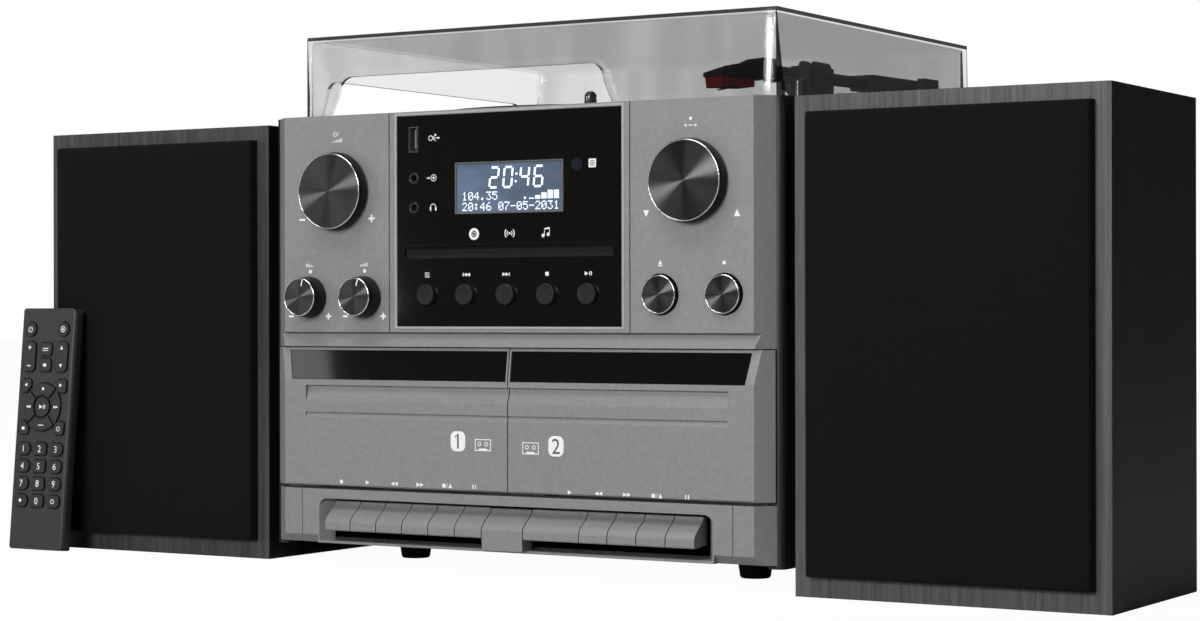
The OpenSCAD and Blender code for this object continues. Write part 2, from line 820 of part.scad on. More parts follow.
module piano_key(x, w) {
    gap = 0.5;
    mid = x + w / 2;
    difference() {
        union() {
            along_x(x + gap / 2, x + w - gap / 2) polygon([for (p = key_face()) p,
                [key_lip_y, key_low + 0.6], [key_lip_y + 0.6, key_low],
                [key_top_y + key_wall + 1, key_low + 1], [key_top_y + key_wall + 1, key_high]]);
            along_x(mid - 2.5, mid + 2.5) polygon([[key_top_y, key_low + 3], [key_axle_y, key_axle_z - 4],
                [key_axle_y + 4, key_axle_z], [key_axle_y, key_axle_z + 4], [key_top_y, key_high - 1]]);
        }
        rod_x([key_axle_y, key_axle_z], mid - 5, mid + 5, axle_r + run);
    }
}

// Key number i of the left deck, counted from the left.
module left_key(i) {
    color("#8b8c90") piano_key(left_key_x + i * key_pitch, key_pitch);
}

// Key number i of the right deck: the first is two keys wide.
module right_key(i) {
    color("#8b8c90") if (i == 0) piano_key(right_key_x, 2 * key_pitch);
        else piano_key(right_key_x + (i + 1) * key_pitch, key_pitch);
}

// ---- Speakers

module speaker_case(at) {
    color("#1d1d1f") translate([at[0], at[1], 0]) difference() {
        cube([spk_w, spk_d, spk_h]);
        translate([board_t, board_t, board_t]) cube([spk_w - 2 * board_t, spk_d - 2 * board_t, spk_h - 2 * board_t]);
        rod_y([spk_w / 2, woofer_z], -1, board_t + 1, 50);
        for (x = [16, spk_w - 16], z = [22, spk_h - 22]) rod_y([x, z], -1, 7, peg_r + run);
        block([spk_w / 2 - 20, spk_d - 4, 40], [spk_w / 2 + 20, spk_d + 1, 64]);
    }
}

module speaker_grille(at) {
    color("#0f0f10") translate([at[0], at[1], 0]) {
        difference() {
            block([8.2, -grille_t, 10.5], [spk_w - 8.2, 0, spk_h - 8.4]);
            block([22, -grille_t + 1.2, 34], [spk_w - 22, 1, spk_h - 34]);
        }
        for (x = [16, spk_w - 16], z = [22, spk_h - 22]) rod_y([x, z], -2, 6, peg_r);
    }
}

// Basket, cone and magnet, turned about the driver's axis.
module speaker_driver(at) {
    color("#3a3a3d") translate([at[0] + spk_w / 2, at[1], woofer_z]) rotate([-90, 0, 0]) {
        rotate_extrude($fn = 64) polygon([[0, 8], [8, 9], [14, 14], [20, 15], [40, 4], [43, 1.6], [45, 3.2],
            [47, 1.2], [49.5, 1.2], [49.5, board_t + 1], [46, board_t + 3], [30, 34], [30, 40], [36, 40],
            [36, 56], [0, 56]]);
    }
}

// ---- Remote

// Places a child on the leaning remote: X across, Y into it, Z up its length.
module on_remote() {
    translate([rc_foot[0], rc_foot[1], 0]) rotate([-rc_lean, 0, 0]) translate([0, 0, rc_t / 2 * sin(rc_lean)])
        children();
}

module remote_case() {
    color("#3c3c3e") on_remote() difference() {
        intersection() {
            along_y(-rc_t / 2, rc_t / 2) round_rect([-rc_w / 2, 0], [rc_w / 2, rc_l], 4);
            along_x(-rc_w, rc_w) round_rect([-rc_t / 2, -5], [rc_t / 2, rc_l + 5], 2.5);
            along_z(-1, rc_l + 1) intersection() {
                round_rect([-rc_w / 2, -rc_t / 2], [rc_w / 2, rc_t / 2 + 5], 2.6);
                round_rect([-rc_w / 2, -rc_t / 2 - 6], [rc_w / 2, rc_t / 2], 4.8);
            }
        }
        block([-rc_w / 2 + 2.4, -rc_t / 2 + 1.8, 4], [rc_w / 2 - 2.4, rc_t / 2 - 2, rc_l - 4]);
        along_y(-rc_t, 0) keys_plan(0.3);
    }
}

// Outlines of all the keys, across and up the remote, each grown by a margin.
module keys_plan(grow) {
    for (s = [-1, 1]) {
        translate([s * 12.9, 131.4]) circle(4.2 + grow);
        key_rect([s * 12.7, 114.9], [4.6, 9], 3, grow);
        for (t = [-1, 1]) difference() {
            key_rect([s * 13.9, ring_z + t * 12.5], [4, 4], 1.8, grow);
            translate([0, ring_z]) circle(15.6 - grow);
        }
    }
    for (z = [119.4, 109.9]) key_rect([0, z], [4.6, 3.9], 1.8, grow);
    translate([0, ring_z]) {
        circle(5.7 + grow);
        for (a = [0:90:270]) rotate(a) intersection() {
            difference() {
                circle(14.3 + grow);
                circle(7.2 - grow);
            }
            polygon([[-grow, 0], [20, -17 - 1.5 * grow], [20, 17 + 1.5 * grow]]);
        }
    }
    for (i = [-1:1], j = [0:3]) {
        key_rect([i * 12.8, 28.8 + j * 10.33], [5.2, 3.8], i == 0 ? 2 : 3.4, grow);
    }
}

// Key outline with round corners about a centre, from its half sizes.
module key_rect(at, half, r, grow) {
    translate(at) round_rect([-half[0] - grow, -half[1] - grow], [half[0] + grow, half[1] + grow], r + grow);
}

module remote_keypad() {
    color("#121213") on_remote() {
        along_y(-rc_t / 2 - 1, -rc_t / 2 + 2.4) keys_plan(0);
        block([-rc_w / 2 + 2.6, -rc_t / 2 + 2, 10], [rc_w / 2 - 2.6, -rc_t / 2 + 3.4, rc_l - 5]);
    }
}

place() cabinet();
place() fascia();
place() display_panel();
place() display_module();
place() deck_plate();
place() rear_panel();
place() rear_sockets();
place() feet();
place() circuit_boards();
place() power_transformer();
place() disc_drive();
place() tape_transports();
place() drive_motor();
place() drive_belt();
place() tonearm_base();
place() dust_cover();
place() platter();
place() slip_mat();
place() tonearm_yoke();
place() tonearm();
place() cartridge();
place() cue_lever();
place() cue_lift();
place() speed_switch();
place() volume_plunger();
place() volume_knob();
place() select_plunger();
place() select_knob();
place() bass_knob();
place() treble_knob();
place() eject_button();
place() record_button();
place() dot_button(0);  // menu_button
place() dot_button(1);  // back_button
place() dot_button(2);  // next_button
place() dot_button(3);  // stop_button
place() dot_button(4);  // play_button
place() deck_1_door();
place() deck_1_window();
place() deck_2_door();
place() deck_2_window();
place() left_key(0);  // key_1_record
place() left_key(1);  // key_1_play
place() left_key(2);  // key_1_rewind
place() left_key(3);  // key_1_forward
place() left_key(4);  // key_1_stop
place() left_key(5);  // key_1_pause
place() right_key(0);  // key_2_play
place() right_key(1);  // key_2_rewind
place() right_key(2);  // key_2_forward
place() right_key(3);  // key_2_stop
place() right_key(4);  // key_2_pause
place() speaker_case(left_at);  // left_speaker_case
place() speaker_grille(left_at);  // left_speaker_grille
place() speaker_driver(left_at);  // left_speaker_driver
place() speaker_case(right_at);  // right_speaker_case
place() speaker_grille(right_at);  // right_speaker_grille
place() speaker_driver(right_at);  // right_speaker_driver
place() remote_case();
place() remote_keypad();
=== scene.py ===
"""Stereo music centre with two speakers and a remote: the looks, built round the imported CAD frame.

Sizes inside the sections are millimetres in the main unit's own frame: X from its middle, Y from its
flat front face to the back, Z from the floor. place() turns them into the metres of the whole set.
"""
import math

import bmesh
import bpy
import numpy as np
from mathutils import Matrix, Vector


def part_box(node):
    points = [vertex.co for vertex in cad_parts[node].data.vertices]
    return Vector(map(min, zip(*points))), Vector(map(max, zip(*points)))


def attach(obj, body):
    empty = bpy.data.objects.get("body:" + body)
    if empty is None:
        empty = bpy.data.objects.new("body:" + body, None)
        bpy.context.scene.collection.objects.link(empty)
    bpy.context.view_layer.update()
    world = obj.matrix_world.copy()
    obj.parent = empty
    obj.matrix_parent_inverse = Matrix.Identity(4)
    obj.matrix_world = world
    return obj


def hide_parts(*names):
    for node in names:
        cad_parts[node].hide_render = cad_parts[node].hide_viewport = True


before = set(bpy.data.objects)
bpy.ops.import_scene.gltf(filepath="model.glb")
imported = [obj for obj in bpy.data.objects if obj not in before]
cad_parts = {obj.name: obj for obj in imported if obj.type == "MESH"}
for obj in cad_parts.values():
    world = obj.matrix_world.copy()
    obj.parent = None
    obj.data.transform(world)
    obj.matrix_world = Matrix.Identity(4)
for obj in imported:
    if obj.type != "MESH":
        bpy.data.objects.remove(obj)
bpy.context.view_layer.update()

# ---- Camera
# Fitted to the photograph's own corners: level, a little above half the set's height, looking from the
# right-hand side at the front. A tenth of a degree of roll is the photograph's own.
PANEL_LOW, PANEL_HIGH = (np.array(corner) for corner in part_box("display_panel"))
SET_OFFSET = np.array([500 * (PANEL_LOW[0] + PANEL_HIGH[0]), 1000 * PANEL_LOW[1] - 0.2, 0.0])
CAMERA_AT = (776.83, -1188.44, 142.70)
CAMERA_TURN, CAMERA_PITCH, CAMERA_ROLL = 31.138, -0.014, -0.115
CAMERA_LENS = 79.054


def place(points):
    """Points in millimetres of the main unit's frame, as metres of the whole set: (p + offset) / 1000."""
    return (np.asarray(points, float) + SET_OFFSET) / 1000.0


def camera_axes(turn, pitch, roll):
    """Right, up and backward vectors of a camera turned about Z, pitched, then rolled about its view."""
    a, p, r = (math.radians(v) for v in (turn, pitch, roll))
    view = np.array([-math.sin(a) * math.cos(p), math.cos(a) * math.cos(p), math.sin(p)])
    level = np.array([math.cos(a), math.sin(a), 0.0])
    top = np.cross(level, view)
    return level * math.cos(r) + top * math.sin(r), top * math.cos(r) - level * math.sin(r), -view


camera = bpy.data.objects.new("camera", bpy.data.cameras.new("camera"))
bpy.context.scene.collection.objects.link(camera)
camera.data.lens = CAMERA_LENS
camera.data.sensor_width = 36.0
camera.data.clip_end = 50.0
pose = np.eye(4)
pose[:3, :3] = np.column_stack(camera_axes(CAMERA_TURN, CAMERA_PITCH, CAMERA_ROLL))
pose[:3, 3] = place(CAMERA_AT)
camera.matrix_world = Matrix(pose.tolist())
bpy.context.scene.camera = camera

# ---- Floor and lights
# A pale floor that the camera sees as white paper, in a world that is white to the camera and through
# glass, and dim in mirrors and as fill. A box in front, a card on the left and a box overhead light it.
FLOOR_GREY, FLOOR_WHITE = 0.45, 0.97
WORLD_FILL, WORLD_MIRROR = 0.17, 0.05


def surface_material(name):
    """An empty node material and its principled shader."""
    material = bpy.data.materials.new(name)
    material.use_nodes = True
    return material, material.node_tree.nodes["Principled BSDF"]


def fill(target, values):
    """Sets a node's inputs, each to a plain value or to another node's output."""
    for key, value in values.items():
        if isinstance(value, bpy.types.NodeSocket):
            target.id_data.links.new(value, target.inputs[key])
        else:
            target.inputs[key].default_value = value


def node(material, kind, inputs=None, **settings):
    """A shader node of a kind, with its settings and its inputs."""
    made = material.node_tree.nodes.new(kind)
    for key, value in settings.items():
        setattr(made, key, value)
    fill(made, inputs or {})
    return made


def object_place(material):
    return node(material, "ShaderNodeTexCoord").outputs["Object"]


def noise(material, where, scale, **more):
    """Noise of a scale, with Detail, Roughness or Distortion where they are given."""
    return node(material, "ShaderNodeTexNoise", {"Vector": where, "Scale": scale, **more}).outputs["Fac"]


def stretch(material, where, scale):
    return node(material, "ShaderNodeMapping", {"Vector": where, "Scale": scale}).outputs[0]


def scaled(colour, factor):
    return tuple(c * factor for c in colour[:3]) + (1,)


def tones(material, value, low, high, at=(0.0, 1.0)):
    """The colour of a ramp between two tones at two places."""
    ramp = node(material, "ShaderNodeValToRGB", {"Fac": value})
    for element, position, colour in zip(ramp.color_ramp.elements, at, (low, high)):
        element.position, element.color = position, colour
    return ramp.outputs["Color"]


def relief(material, shader, height, strength, distance, edge, samples=3):
    """A bump over edges that are rounded in the light."""
    rounded = node(material, "ShaderNodeBevel", {"Radius": edge}, samples=samples).outputs["Normal"]
    values = {"Strength": strength, "Distance": distance, "Height": height, "Normal": rounded}
    fill(shader, {"Normal": node(material, "ShaderNodeBump", values).outputs["Normal"]})


def quads(rows, columns, closed=False):
    """Four-sided faces between rows of points, and each face's row and column."""
    i, j = np.meshgrid(np.arange(rows - 1), np.arange(columns - (not closed)), indexing="ij")
    k = (j + 1) % columns
    faces = np.stack([i * columns + j, i * columns + k, (i + 1) * columns + k, (i + 1) * columns + j], -1)
    return faces.reshape(-1, 4), i, j


def mesh_piece(name, points, faces, material, smooth=False):
    """A piece from points in metres and faces."""
    mesh = bpy.data.meshes.new(name)
    mesh.from_pydata(np.asarray(points).tolist(), [], [tuple(int(i) for i in f) for f in faces])
    mesh.validate()
    if smooth:
        mesh.polygons.foreach_set("use_smooth", np.ones(len(mesh.polygons), bool))
    piece = bpy.data.objects.new(name, mesh)
    bpy.context.scene.collection.objects.link(piece)
    mesh.materials.append(material)
    return piece


floor_finish, floor_shader = surface_material("pale_floor")
fill(floor_shader, {"Base Color": (*[FLOOR_GREY] * 3, 1), "Roughness": 0.7, "Specular IOR Level": 0.1})
paper = node(floor_finish, "ShaderNodeEmission", {"Color": (1, 1, 1, 1), "Strength": 1.0})
looked_at = node(floor_finish, "ShaderNodeLightPath").outputs["Is Camera Ray"]
share = node(floor_finish, "ShaderNodeMath", {0: looked_at, 1: FLOOR_WHITE}, operation="MULTIPLY")
sweep = node(floor_finish, "ShaderNodeMixShader", {
    "Fac": share.outputs[0], 1: floor_shader.outputs["BSDF"], 2: paper.outputs["Emission"],
})
fill(floor_finish.node_tree.nodes["Material Output"], {"Surface": sweep.outputs["Shader"]})
floor = mesh_piece("floor", [(-9, -9, 0), (9, -9, 0), (9, 9, 0), (-9, 9, 0)], [(0, 1, 2, 3)], floor_finish)

world = bpy.data.worlds.new("studio")
bpy.context.scene.world = world
world.use_nodes = True
rays = node(world, "ShaderNodeLightPath").outputs
unseen = node(world, "ShaderNodeMix", {
    "A": WORLD_FILL, "B": WORLD_MIRROR, "Factor": rays["Is Glossy Ray"],
}, data_type="FLOAT").outputs["Result"]
seen = node(
    world, "ShaderNodeMath", {0: rays["Is Camera Ray"], 1: rays["Is Transmission Ray"]}, operation="MAXIMUM"
).outputs[0]
level = node(world, "ShaderNodeMix", {"A": unseen, "B": 1.0, "Factor": seen}, data_type="FLOAT").outputs["Result"]
fill(world.node_tree.nodes["Background"], {"Color": (1, 1, 1, 1), "Strength": level})
bpy.context.scene.view_settings.view_transform = "Standard"


def soft_box(name, at, aim, size, power, roll=0.0):
    """A rectangular area light at a place, turned to a point, both in metres, then rolled in degrees."""
    lamp = bpy.data.objects.new(name, bpy.data.lights.new(name, "AREA"))
    lamp.data.shape = "RECTANGLE"
    lamp.data.size, lamp.data.size_y = size
    lamp.data.energy = power
    bpy.context.scene.collection.objects.link(lamp)
    away = np.subtract(at, aim)
    back = away / np.linalg.norm(away)
    side = np.cross((0, 0, 1), back)
    side /= np.linalg.norm(side)
    up, c, s = np.cross(back, side), math.cos(math.radians(roll)), math.sin(math.radians(roll))
    turn = np.eye(4)
    turn[:3, :3] = np.column_stack((side * c + up * s, up * c - side * s, back))
    turn[:3, 3] = at
    lamp.matrix_world = Matrix(turn.tolist())
    return lamp


soft_box("front_box", (0.05, -2.6, 0.85), (0, 0, 0.15), (0.9, 0.6), 38)
soft_box("left_card", (-2.42, -2.10, 0.80), (-0.13, -0.13, 0.8), (1.15, 1.7), 9, 16)
soft_box("top_box", (-0.2, -1.1, 2.2), (0, 0, 0.15), (1.4, 1.0), 30)
bpy.context.scene.cycles.transparent_max_bounces = 24


# ---- Cabinet
# A wooden sleeve wrapped in black ash film, open at the front and back, with soft front corners. The
# same film covers the speakers. Its grain runs up the sides and shows as fine grey streaks in the gloss.
FILM_BLACK = (0.0075, 0.0075, 0.008, 1)
FILM_GREY = (0.03, 0.03, 0.031, 1)


def film_finish(name, dark, light, grain=(900, 900, 14)):
    """Black ash film: long streaks from stretched noise, with pores that catch the light."""
    material, shader = surface_material(name)
    stretched = stretch(material, object_place(material), grain)
    streaks = noise(material, stretched, 1.0, Detail=6.0, Roughness=0.65, Distortion=0.6)
    broad = noise(material, stretched, 0.22, Detail=3.0, Roughness=0.5)
    both = node(material, "ShaderNodeMath", {0: streaks, 1: broad}, operation="MULTIPLY").outputs[0]
    tone = tones(material, both, dark, light, (0.16, 0.4))
    relief(material, shader, streaks, 0.35, 0.0002, 0.0006)
    fill(shader, {"Base Color": tone, "Roughness": 0.42, "Specular IOR Level": 0.35})
    return material


def dress(material, *nodes):
    """Gives CAD nodes one finish."""
    for name in nodes:
        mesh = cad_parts[name].data
        mesh.materials.clear()
        mesh.materials.append(material)


dress(film_finish("black_ash_sleeve", FILM_BLACK, FILM_GREY), "cabinet")

# ---- Back and feet
# Vented rear panel of grained black plastic, held by screws, with plated phono sockets for the two
# speakers and the line output, an aerial post and the mains inlet. Four soft rubber feet.
REAR_SCREWS = [(-148, 26), (148, 26), (-148, 238), (148, 238), (0, 238), (0, 26)]
PHONO_AT = [(-106, 100), (-106, 119), (-92, 100), (-92, 119), (-70, 100), (-56, 100)]
PHONO_RINGS = {"red": (0.55, 0.01, 0.01, 1), "white": (0.75, 0.75, 0.75, 1)}
REAR_FACE_Y = 283.0


def grained_plastic(name, colour, rough=0.5, grain=1400.0, depth=0.00012, gloss=0.3, edge=0.0004, metal=0.0):
    """Moulded plastic: spark-eroded grain as a fine bump, tiny tone changes and softened edges."""
    material, shader = surface_material(name)
    fine = noise(material, object_place(material), grain, Detail=2.0)
    low, high = (tuple(min(1.0, c * factor) for c in colour[:3]) + (1,) for factor in (0.82, 1.18))
    tone = tones(material, fine, low, high, (0.3, 0.7))
    relief(material, shader, fine, 0.5, depth, edge)
    fill(shader, {"Base Color": tone, "Roughness": rough, "Specular IOR Level": gloss, "Metallic": metal})
    return material


def turned(name, profile, centre, axis, material, around=48):
    """A lathe shape: each point of the profile (radius, distance along the axis) is carried round the
    axis through the centre. The ends are closed where the radius is nought, and UV has the angle in U
    and the length along the profile in V."""
    profile = np.asarray(profile, float)
    angle = np.linspace(0, 2 * math.pi, around, endpoint=False)
    radius, along = profile[:, 0][:, None], profile[:, 1][:, None]
    ring = np.stack([radius * np.cos(angle), radius * np.sin(angle), along + 0 * angle], -1)
    order = {"x": (2, 0, 1), "y": (0, 2, 1), "z": (0, 1, 2)}[axis]
    points = place(ring[..., order].reshape(-1, 3) + np.asarray(centre, float))
    faces, i, j = quads(len(profile), around, True)
    piece = mesh_piece(name, points, faces, material, True)
    length = np.concatenate([[0], np.cumsum(np.linalg.norm(np.diff(profile, axis=0), axis=1))])
    u = np.stack([j, j + 1, j + 1, j], -1).reshape(-1) / around
    v = length[np.stack([i, i, i + 1, i + 1], -1).reshape(-1)]
    layer = piece.data.uv_layers.new(name="round")
    if len(layer.data) == len(u):
        layer.data.foreach_set("uv", np.stack([u, v], -1).reshape(-1))
    shape = bmesh.new()
    shape.from_mesh(piece.data)
    bmesh.ops.remove_doubles(shape, verts=shape.verts, dist=1e-7)
    bmesh.ops.recalc_face_normals(shape, faces=shape.faces)
    shape.to_mesh(piece.data)
    shape.free()
    return piece


rear_plastic = grained_plastic("rear_plastic", (0.012, 0.012, 0.0125, 1), 0.55)
socket_plastic = grained_plastic("socket_plastic", (0.02, 0.02, 0.021, 1), 0.4, depth=0.00005)
foot_rubber = grained_plastic("foot_rubber", (0.018, 0.018, 0.019, 1), 0.7, 900, 0.0002, 0.2, 0.0008)
dress(rear_plastic, "rear_panel")
dress(socket_plastic, "rear_sockets")
dress(foot_rubber, "feet")

# Plated rings and moulded collars on the phono sockets, and the crossed screws of the rear panel.
plated = grained_plastic("plated_ring", (0.62, 0.6, 0.55, 1), 0.22, 300, 0.00001, 0.6, metal=1.0)
ring_colours = [grained_plastic("socket_" + word, colour, 0.35, 500, 0.00002) for word, colour in PHONO_RINGS.items()]
for number, (x, z) in enumerate(PHONO_AT):
    row = 0 if z < 110 else 1
    collar = turned(
        f"socket_collar_{number}",
        [(5.9, 0), (5.9, 0.9), (5.5, 1.3), (4.45, 1.3), (4.45, 0)],
        (x, REAR_FACE_Y - 0.5, z), "y", ring_colours[row],
    )
    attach(collar, "main_unit")
    sleeve = turned(
        f"socket_plating_{number}",
        [(1.66, 7.7), (1.66, 8.05), (3.9, 8.05), (4.2, 7.7), (4.2, 1.3), (4.16, 1.2)],
        (x, REAR_FACE_Y, z), "y", plated,
    )
    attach(sleeve, "main_unit")


def crossed_screw(name, at, radius, material):
    """A low screw head: a dome whose height falls as 1 - s^4, with s from nought to one at the rim, and a
    cross pressed in where either offset from the centre is under a seventh of the radius."""
    across = np.linspace(-1, 1, 33)
    u, v = np.meshgrid(across, across)
    square = np.maximum(np.abs(u), np.abs(v))
    reach = np.sqrt(u**2 + v**2)
    scale = np.divide(square, reach, out=np.ones_like(reach), where=reach > 0)
    px, pz = u * scale * radius, v * scale * radius
    dome = 0.45 * radius * (1 - square**4)
    arm = (np.minimum(np.abs(px), np.abs(pz)) < radius / 7) & (square < 0.62)
    height = np.where(arm, dome - 0.3 * radius, dome)
    points = np.stack([at[0] + px, at[1] + height, at[2] + pz], -1).reshape(-1, 3)
    return mesh_piece(name, place(points), quads(33, 33)[0][:, ::-1], material)


screw_steel = grained_plastic("screw_steel", (0.05, 0.05, 0.052, 1), 0.3, 800, 0.00001, 0.6, metal=1.0)
for number, (x, z) in enumerate(REAR_SCREWS):
    screw = crossed_screw(f"rear_screw_{number}", (x, REAR_FACE_Y, z), 3.4, screw_steel)
    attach(screw, "main_unit")

# ---- Silver front, doors and keys
# One colour of metallic grey moulding: the panel round the display, the two cassette doors and the
# piano keys. Fine aluminium flake in the resin gives the speckle; edges are slightly rounded in the light.
SILVER = (0.245, 0.247, 0.256, 1)
FLAKE_SPREAD = 0.16
PIANO_KEYS = [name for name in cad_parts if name.startswith("key_")]


def flake_moulding(name, colour):
    """Metallic grey resin: two sizes of speckle over a broad, faint mottle, and a very fine bump."""
    material, shader = surface_material(name)
    where = object_place(material)
    speckle = noise(material, where, 2600.0, Detail=1.0)
    mottle = noise(material, where, 420.0, Detail=3.0)
    mixed = node(
        material, "ShaderNodeMix", {"Factor": 0.35, "A": speckle, "B": mottle}, data_type="FLOAT"
    ).outputs["Result"]
    low, high = scaled(colour, 1 - FLAKE_SPREAD), scaled(colour, 1 + FLAKE_SPREAD)
    tone = tones(material, mixed, low, high, (0.32, 0.68))
    relief(material, shader, speckle, 0.25, 0.0001, 0.0005, 4)
    fill(shader, {"Base Color": tone, "Metallic": 0.25, "Roughness": 0.42, "Specular IOR Level": 0.4})
    return material


silver_front = flake_moulding("silver_moulding", SILVER)
dress(silver_front, "fascia", "deck_1_door", "deck_2_door", *PIANO_KEYS)

# ---- Printing on the front
# White screen printing: plain signs and numerals only. Every sign is a flat closed outline, a little
# proud of the face that it is printed on.
PRINT_PROUD = 0.06


def as_shape(points):
    """One closed outline as points and a single face."""
    points = np.asarray(points, float)
    return points, [tuple(range(len(points)))]


def bar(x0, z0, x1, z1):
    """An upright rectangle between two corners."""
    return as_shape([(x0, z0), (x1, z0), (x1, z1), (x0, z1)])


def dot(x, z, r, around=28):
    """A disc: x + r cos a, z + r sin a."""
    a = np.linspace(0, 2 * math.pi, around, endpoint=False)
    return as_shape(np.stack([x + r * np.cos(a), z + r * np.sin(a)], -1))


def arc(x, z, r, width, start=0.0, sweep=360.0, steps=32):
    """A curved stroke: two rows of points at r - width / 2 and r + width / 2 over the sweep."""
    a = np.radians(np.linspace(start, start + sweep, steps + 1))
    rows = [np.stack([x + q * np.cos(a), z + q * np.sin(a)], -1) for q in (r - width / 2, r + width / 2)]
    points = np.concatenate(rows)
    n = steps + 1
    return points, [(i, i + n, i + n + 1, i + 1)[::-1] for i in range(steps)]


def stroke(p, q, width):
    """A straight stroke of a width from p to q."""
    p, q = np.asarray(p, float), np.asarray(q, float)
    along = (q - p) / np.linalg.norm(q - p)
    side = np.array([-along[1], along[0]]) * width / 2
    return as_shape([p - side, q - side, q + side, p + side])


def arrowhead(x, z, size, turn):
    """A triangle pointing right, turned about its middle by an angle in degrees."""
    a = math.radians(turn)
    shape = np.array([(-0.5, -0.5), (0.5, 0.0), (-0.5, 0.5)]) * size
    rotation = np.array([(math.cos(a), -math.sin(a)), (math.sin(a), math.cos(a))])
    return as_shape(shape @ rotation.T + (x, z))


def minus(x, z, size, width):
    return [bar(x - size / 2, z - width / 2, x + size / 2, z + width / 2)]


def plus(x, z, size, width):
    return minus(x, z, size, width) + [bar(x - width / 2, z + width / 2, x + width / 2, z + size / 2),
                                       bar(x - width / 2, z - size / 2, x + width / 2, z - width / 2)]


def numeral(sign, x, z, height):
    """One digit from the plain built-in lettering, as a mesh, centred at x and z."""
    curve = bpy.data.curves.new("numeral", "FONT")
    curve.body, curve.align_x, curve.align_y = sign, "CENTER", "CENTER"
    curve.size, curve.resolution_u = height / 0.7, 3
    holder = bpy.data.objects.new("numeral", curve)
    bpy.context.scene.collection.objects.link(holder)
    flat = bpy.data.meshes.new_from_object(holder.evaluated_get(bpy.context.evaluated_depsgraph_get()))
    points = np.array([v.co[:2] for v in flat.vertices], float)
    faces = [tuple(f.vertices) for f in flat.polygons]
    middle = (points.min(0) + points.max(0)) / 2
    bpy.data.objects.remove(holder)
    bpy.data.curves.remove(curve)
    bpy.data.meshes.remove(flat)
    return points - middle + (x, z), faces


def printed(name, shapes, body, ink, depth=-PRINT_PROUD, to_frame=None):
    """Flat signs as one piece. Points (x, z) lie on the plane Y = depth, or go through to_frame."""
    points, faces, count = [], [], 0
    for flat, polygons in shapes:
        points.append(np.stack([flat[:, 0], np.full(len(flat), depth), flat[:, 1]], -1))
        for polygon in polygons:
            corners = flat[list(polygon)]
            after = np.roll(corners, -1, 0)
            turn = (corners[:, 0] * after[:, 1] - after[:, 0] * corners[:, 1]).sum()
            order = polygon if turn > 0 else polygon[::-1]
            faces.append([count + i for i in order])
        count += len(flat)
    points = np.concatenate(points)
    piece = mesh_piece(name, place(points if to_frame is None else to_frame(points)), faces, ink)
    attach(piece, body)
    return piece


def ink_finish(name, colour, rough=0.5):
    """Screen-printing ink: a thin coat that is a little uneven."""
    material, shader = surface_material(name)
    uneven = noise(material, object_place(material), 1800.0)
    fill(shader, {"Base Color": tones(material, uneven, scaled(colour, 0.88), colour), "Roughness": rough})
    return material


white_ink = ink_finish("white_ink", (0.86, 0.86, 0.86, 1))

VOLUME_X, SELECT_X = -113.4, 113.7
printed("volume_signs", [
    arc(VOLUME_X - 1.2, 241.4, 1.15, 0.35, 120, 300), bar(VOLUME_X - 1.38, 241.4, VOLUME_X - 1.02, 242.9),
    stroke((VOLUME_X + 0.6, 240.6), (VOLUME_X + 1.6, 242.6), 0.35),
    *[bar(VOLUME_X - 3.2 + 1.5 * i, 236.9, VOLUME_X - 2.4 + 1.5 * i, 237.4 + 0.38 * i) for i in range(5)],
    *minus(-137.7, 193.9, 4.1, 1.1), *plus(-89.4, 193.8, 4.2, 1.15),
], "main_unit", white_ink)
printed("select_signs", [
    dot(SELECT_X, 241.5, 0.9),
    arrowhead(SELECT_X - 3.2, 238.0, 1.7, 180), bar(SELECT_X - 1.4, 237.75, SELECT_X + 1.4, 238.25),
    arrowhead(SELECT_X + 3.2, 238.0, 1.7, 0),
    arrowhead(87.1, 192.8, 3.6, -90), arrowhead(140.8, 192.3, 3.8, 90),
], "main_unit", white_ink)
TONE_X = (-132.4, -94.6)
tone_signs = []
for x in TONE_X:
    tone_signs += [dot(x + 0.4, 164.6, 1.1)]
    tone_signs += minus(x - 13.1, 139.4, 3.5, 1.0) + plus(x + 13.0, 139.4, 3.8, 1.05)
tone_signs += [bar(-135.0 + 1.1 * i, 167.2, -134.4 + 1.1 * i, 169.2 - 0.3 * i) for i in range(5)]
tone_signs += [bar(-97.2 + 1.1 * i, 167.2, -96.6 + 1.1 * i, 168.0 + 0.3 * i) for i in range(5)]
printed("tone_signs", tone_signs, "main_unit", white_ink)
printed("push_signs", [
    arrowhead(95.5, 167.5, 2.6, 90), bar(94.2, 165.2, 96.8, 165.8), dot(133.2, 166.8, 1.05),
], "main_unit", white_ink)

# ---- Display panel
# Black gloss acrylic let into the front, with a thin pale bead round it, a back-lit display, a slot for
# discs, a bus socket, two jack sockets and five flat black buttons.
PANEL_EDGE = (-73.5, 132.4, 73.5, 251.0)
DISPLAY_EDGE = (-33.5, 195.0, 36.0, 223.0)
DISPLAY_FACE_Y = 0.9
JACK_X, JACK_ZS = -60.7, (215.2, 199.0)
BUTTON_XS, BUTTON_Z = (-51.9, -26.3, 0.0, 25.8, 51.5), 151.2
DOT_BUTTONS = ("menu_button", "back_button", "next_button", "stop_button", "play_button")

gloss_black, gloss_shader = surface_material("black_gloss")
haze = noise(gloss_black, object_place(gloss_black), 30.0, Detail=4.0)
haze_tone = node(gloss_black, "ShaderNodeMapRange", {"Value": haze, "To Min": 0.03, "To Max": 0.07})
gloss_round = node(gloss_black, "ShaderNodeBevel", {"Radius": 0.0003}, samples=3)
fill(gloss_shader, {
    "Base Color": (0.003, 0.003, 0.0026, 1), "Specular IOR Level": 0.85,
    "Roughness": haze_tone.outputs["Result"], "Normal": gloss_round.outputs["Normal"],
})
dress(gloss_black, "display_panel", "deck_1_window", "deck_2_window")


